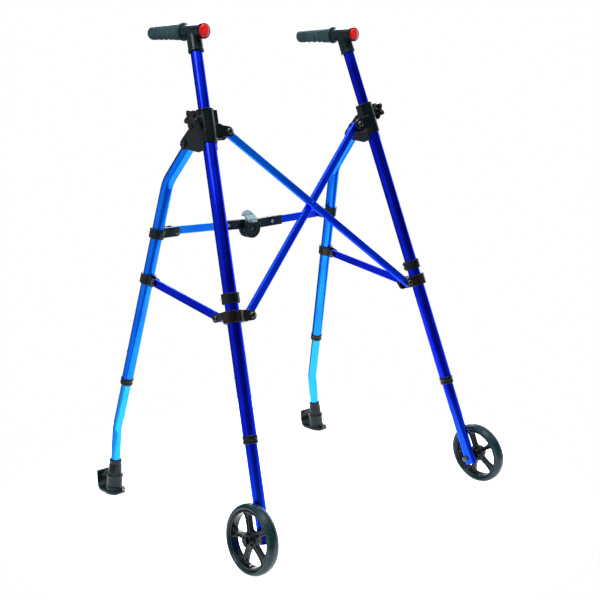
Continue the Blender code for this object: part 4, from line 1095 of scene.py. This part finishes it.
def make_brace():
    back = flat_bar(BRACE_TOP, flip(SLIDER_PIN), FRONT_NORMAL, BAR_LAYER,
                    (BRACE_TOP, flip(SLIDER_PIN), BRACE_CENTRE))
    piece("back_brace_bar", back, "back_brace", "brace", ["back_brace_bar"])
    front = flat_bar(flip(BRACE_TOP), SLIDER_PIN, FRONT_NORMAL, -BAR_LAYER,
                     (flip(BRACE_TOP), SLIDER_PIN, BRACE_CENTRE))
    # Its look paints a highlight in azure over the bar's upper end.
    piece("front_brace_bar", front, "front_brace", "front_brace",
          ["front_brace_bar"])
    rivet = headed(BRACE_CENTRE, FRONT_NORMAL, X_AXIS, BAR_LAYER + BAR_THICK / 2 + GAP, PIN_R,
                   0.0060, 0.0014)
    piece("brace_rivet", rivet, "back_brace", "brace", ["brace_rivet"])
    pair("slider", slider(), "slider", "bakelite", ["slider"], 50)
    pair("slider_bolt", castellated(SLIDER_PIN, FRONT_NORMAL, INBOARD, CLEVIS + CHEEK - 0.0002,
                                    PIN_R, 0.0065, 0.0038), "slider", "dark_steel")
    ears = [bolt(SLIDER_EAR, OUT * side, BACK, EAR_SLOT + CHEEK - 0.0002, 0.0060, 0.0034)
            for side in (-1, 1)]
    pair("slider_ear_bolts", merged(ears), "slider", "dark_steel")
    pair("stop_collar", stop_collar(), "frame", "black", ["stop_collar"], 50)
    pair("collar_screw", collar_screw(), "frame", "steel")
    link = flat_bar(LINK_PIN, SLIDER_EAR, OUT, 0, (LINK_PIN, SLIDER_EAR))
    pair("side_link", link, "side_link", "link", ["side_link"])


# ------------------------------------------------------------ folding crossbar
HUB = Vector((0, CROSS_PIN.y, 0.532))
HUB_R, HUB_DEPTH, LAP = 0.0205, 0.0112, 0.0012
CROSS_LAYER, CROSS_THICK = 0.0052, 0.0054
BAR_MIDDLE = Vector((0, CROSS_PIN.y, 0.5400))
BAR_RUN = (CROSS_PIN - BAR_MIDDLE).normalized()
BAR_REACH = (CROSS_PIN - BAR_MIDDLE).length
ALONG_BAR = frame_at(BAR_MIDDLE, BAR_RUN.cross(Y_AXIS), BAR_RUN)
BAR_END_X, ARM_REACH, ARM_HALF, ARM_START_X = 0.0300, 0.081, 0.0098, -0.0021
TAB_HALF, TAB_BASE = 0.0125, 0.0238
HUB_FRONT = frame_at(HUB, -Y_AXIS, X_AXIS)
ARM_HOLE = BAR_MIDDLE + BAR_RUN * 0.0530


def turned_round(obj):
    obj.data.transform(Matrix.Translation(HUB) @ Matrix.Rotation(pi, 4, 'Z')
                       @ Matrix.Translation(-HUB))
    return obj


def arm_drill():
    return drill(ARM_HOLE, Y_AXIS, 0.0028, -0.02, 0.02)


def half_bar():
    outline = [(BAR_END_X, -BAR_WIDTH / 2), *arc((BAR_REACH, 0), BAR_WIDTH / 2, -90, 90, 20),
               (BAR_END_X, BAR_WIDTH / 2)]
    bar = plate(outline, CROSS_THICK,
                frame_at(BAR_MIDDLE - Y_AXIS * CROSS_LAYER, -Y_AXIS, BAR_RUN), 0.0022, 6)
    return cut(bar, drill(CROSS_PIN, Y_AXIS, 0.0034, -0.02, 0.02), arm_drill())


def hub_parts():
    depth = HUB_DEPTH - 0.0006 - LAP
    return [rod(HUB_R, LAP, HUB_DEPTH, HUB_FRONT, 0.0010, 72),
            rod(0.0090, 2 * GAP, HUB_DEPTH - 0.001, HUB_FRONT, 0.0002),
            block((ARM_REACH - ARM_START_X, depth, 2 * ARM_HALF),
                  ((ARM_REACH + ARM_START_X) / 2, -LAP - depth / 2, 0), ALONG_BAR, 0.0014)]


def hub_cuts():
    return [block((ARM_REACH, CROSS_THICK + 2 * GAP, BAR_WIDTH + 2 * GAP),
                  (BAR_END_X - GAP + ARM_REACH / 2, -CROSS_LAYER, 0), ALONG_BAR, 0),
            arm_drill()]


def hub_plates():
    dish = [turned([(0, HUB_DEPTH - 0.0026), (0.0072, HUB_DEPTH - 0.0026),
                    (0.0094, HUB_DEPTH + 0.01), (0, HUB_DEPTH + 0.01)], HUB_FRONT),
            turned([(0.0150, HUB_DEPTH - 0.0006), (0.0162, HUB_DEPTH - 0.0006),
                    (0.0162, HUB_DEPTH + 0.002), (0.0150, HUB_DEPTH + 0.002)], HUB_FRONT)]
    front = moulded(hub_parts(), Matrix.Translation(HUB), [*hub_cuts(), *dish],
                    0.0006, 2, 0.25)
    back = turned_round(moulded(hub_parts(), Matrix.Translation(HUB), hub_cuts(), 0.0006, 2,
                                0.25))
    seat = block((0.0116, 0.0066, 0.04), (0, 0.0062, HUB_R + 0.0100), Matrix.Translation(HUB), 0)
    return front, cut(back, seat, solver='MANIFOLD')


def thumb_ramp():
    """The fixed lower half of the thumb paddle, seated on the front hub plate."""
    return plate([(-HUB_DEPTH, 0.0120), (-LAP, 0.0120), (-LAP, TAB_BASE + 0.0033),
                  (-HUB_DEPTH, HUB_R - 0.0005)], 2 * TAB_HALF, frame_at(HUB, X_AXIS, Y_AXIS),
                 0.0010)


def eyelet():
    """A polished hollow rivet in the arm's through hole."""
    ends = [(0.0027, -0.0012), (0.0027, -0.0104), (0.0035, -0.0106), (0.0035, -0.0110),
            (0.0018, -0.0110), (0.0016, -0.0104), (0.0016, -0.0012)]
    return turned([(radius, -height) for radius, height in ends],
                  frame_at(ARM_HOLE, -Y_AXIS, X_AXIS), 32)


def hub_pin():
    profile = [(0, HUB_DEPTH - 0.0008), (0.0040, HUB_DEPTH - 0.0009),
               (0.0050, HUB_DEPTH - 0.0016), (0.0050, HUB_DEPTH - 0.0030),
               (0, HUB_DEPTH - 0.0030)]
    pin = turned(profile, HUB_FRONT, 40)
    slot = block((0.0064, 0.0012, 0.0016), (0, 0, HUB_DEPTH - 0.0008), HUB_FRONT, 0)
    return cut(pin, slot)


def release_button():
    """A round-topped thumb tab with a sloping face, on its stem."""
    top = TAB_BASE + TAB_HALF
    face = [(TAB_HALF, TAB_BASE), *arc((0, TAB_BASE), TAB_HALF, 4, 176, 24),
            (-TAB_HALF, TAB_BASE)]
    side = [(LAP, TAB_BASE + 0.0003), (HUB_DEPTH, TAB_BASE + 0.0003),
            (HUB_DEPTH, top + 0.001),
            (HUB_DEPTH - 0.003, top + 0.001), (LAP, TAB_BASE + 0.0045)]
    tab = cut(plate(face, 0.05, frame_at(HUB, -Y_AXIS, X_AXIS)),
              plate(side, 0.05, frame_at(HUB, X_AXIS, Y_AXIS)), operation='INTERSECT')
    stem = block((0.0104, 0.0054, 0.0100), (0, 0.0062, HUB_R + 0.0006),
                 Matrix.Translation(HUB), 0.0003)
    return moulded([tab, stem], Matrix.Translation(HUB), (), 0.0005, 3, 0.3)


def make_crossbar():
    bar = half_bar()
    twin = turned_round(loose(bar.data.copy()))
    # Left half in painted shade (mid blue), right half in painted light (sky blue): two copies of
    # one part.
    piece("left_crossbar_bar", bar, "left_crossbar", "crossbar_painted_shade_copy",
          ["left_crossbar_bar"])
    piece("right_crossbar_bar", twin, "right_crossbar", "crossbar",
          ["right_crossbar_bar"])
    front, back = hub_plates()
    piece("front_hub_plate", front, "left_crossbar", "teal",
          ["front_hub_plate"], 50)
    piece("back_hub_plate", back, "right_crossbar", "teal",
          ["back_hub_plate"], 50)
    piece("hub_pin", hub_pin(), "left_crossbar", "dark_steel")
    # The paddle look is a light teal-grey that paints the tab's highlight.
    piece("thumb_ramp", thumb_ramp(), "left_crossbar", "paddle")
    ring = eyelet()
    other = turned_round(loose(ring.data.copy()))
    piece("left_arm_eyelet", ring, "left_crossbar", "steel")
    piece("right_arm_eyelet", other, "right_crossbar", "steel")
    piece("release_button", release_button(), "release_button", "paddle",
          ["release_button"], 50)


# --------------------------------------------------------- camera and studio
CAMERA_TURN, CAMERA_TILT, CAMERA_ROLL = -0.732379453, -0.217371493, -0.00643277756


def make_camera():
    """The photo's camera, as solved together with the structure."""
    data = bpy.data.cameras.new("camera")
    data.lens, data.sensor_width, data.clip_start = 62.845, 36.0, 0.05
    camera = bpy.data.objects.new("camera", data)
    camera.matrix_world = (Matrix.Translation((-1.36100, AXLE.y - 1.29948, 0.852622))
                           @ Matrix.Rotation(CAMERA_TURN, 4, 'Z')
                           @ Matrix.Rotation(pi / 2 + CAMERA_TILT, 4, 'X')
                           @ Matrix.Rotation(CAMERA_ROLL, 4, 'Z'))
    bpy.context.scene.collection.objects.link(camera)
    bpy.context.scene.camera = camera


def softbox(name, place, size, power):
    data = bpy.data.lights.new(name, 'AREA')
    data.shape, data.size, data.size_y = 'RECTANGLE', size[0], size[1]
    data.energy = power
    lamp = bpy.data.objects.new(name, data)
    aim = Vector((0, 0, 0.45)) - Vector(place)
    lamp.matrix_world = (Matrix.Translation(place)
                         @ aim.to_track_quat('-Z', 'Y').to_matrix().to_4x4())
    bpy.context.scene.collection.objects.link(lamp)


VIEW_TURN = 0.7324                                  # the camera's turn, rounded
VIEW_RIGHT = Vector((cos(VIEW_TURN), -sin(VIEW_TURN), 0))
VIEW_AHEAD = Vector((sin(VIEW_TURN), cos(VIEW_TURN), 0))
GLOWS = (                                           # direction, from, to, strength
    (-VIEW_RIGHT * 0.92 - VIEW_AHEAD * 0.35 - Z_AXIS * 0.15, 0.50, 0.95, 0.75),
    (VIEW_RIGHT * 0.62 + VIEW_AHEAD * 0.78 - Z_AXIS * 0.15, 0.70, 0.96, 2.60),
    (Z_AXIS, 0.35, 0.95, 1.30),
    (VIEW_RIGHT * 0.95 - VIEW_AHEAD * 0.25 - Z_AXIS * 0.15, 0.85, 0.99, 0.70),
    (-VIEW_AHEAD - Z_AXIS * 0.40, 0.40, 0.99, 0.26),
)


def make_world():
    """A white studio to the camera; to the object, a dim room with large soft glows."""
    world = bpy.data.worlds.new("studio")
    world.use_nodes = True
    tree = world.node_tree
    tree.nodes.clear()
    make, wire = tree.nodes.new, tree.links.new
    coords = make('ShaderNodeTexCoord').outputs["Generated"]
    total = None
    for direction, start, end, strength in GLOWS:
        dot = make('ShaderNodeVectorMath')
        dot.operation = 'DOT_PRODUCT'
        dot.inputs[1].default_value = direction.normalized()
        wire(coords, dot.inputs[0])
        glow = make('ShaderNodeMapRange')
        glow.interpolation_type = 'SMOOTHSTEP'
        glow.inputs["From Min"].default_value = start
        glow.inputs["From Max"].default_value = end
        glow.inputs["To Max"].default_value = strength
        wire(dot.outputs["Value"], glow.inputs["Value"])
        add = make('ShaderNodeMath')
        add.operation = 'ADD'
        wire(glow.outputs["Result"], add.inputs[0])
        if total:
            wire(total, add.inputs[1])
        else:
            add.inputs[1].default_value = 0.06
        total = add.outputs[0]
    dim, white = make('ShaderNodeBackground'), make('ShaderNodeBackground')
    dim.inputs["Color"].default_value = (0.86, 0.97, 1, 1)
    wire(total, dim.inputs["Strength"])
    white.inputs["Color"].default_value = (1, 1, 1, 1)
    rays, mix = make('ShaderNodeLightPath'), make('ShaderNodeMixShader')
    wire(rays.outputs["Is Camera Ray"], mix.inputs[0])
    wire(dim.outputs[0], mix.inputs[1])
    wire(white.outputs[0], mix.inputs[2])
    wire(mix.outputs[0], make('ShaderNodeOutputWorld').inputs[0])
    bpy.context.scene.world = world


def make_floor():
    bm = bmesh.new()
    bmesh.ops.create_circle(bm, cap_ends=True, radius=0.62, segments=96)
    floor = from_bmesh(bm, Matrix.Translation((0, 0, -0.0005)), outward=False)
    floor.name = "floor"
    material = bpy.data.materials.new("floor_paint")
    material.use_nodes = True
    shader = material.node_tree.nodes["Principled BSDF"]
    shader.inputs["Base Color"].default_value = (0.93, 0.93, 0.93, 1)
    shader.inputs["Roughness"].default_value = 0.9
    shader.inputs["Specular IOR Level"].default_value = 0.0
    shader.inputs["Emission Color"].default_value = (1, 1, 1, 1)
    shader.inputs["Emission Strength"].default_value = 1.0
    floor.data.materials.append(material)


make_front_leg()
make_handle()
make_rear_leg()
make_brace()
make_crossbar()
make_floor()
make_world()
make_camera()
softbox("key", (-2.4, -0.4, 2.6), (1.2, 1.2), 45)
softbox("overhead", (0.2, -0.6, 2.8), (1.6, 0.8), 30)
softbox("rim", (1.6, 2.2, 1.8), (1.4, 1.4), 45)
bpy.context.scene.view_settings.view_transform = 'Standard'
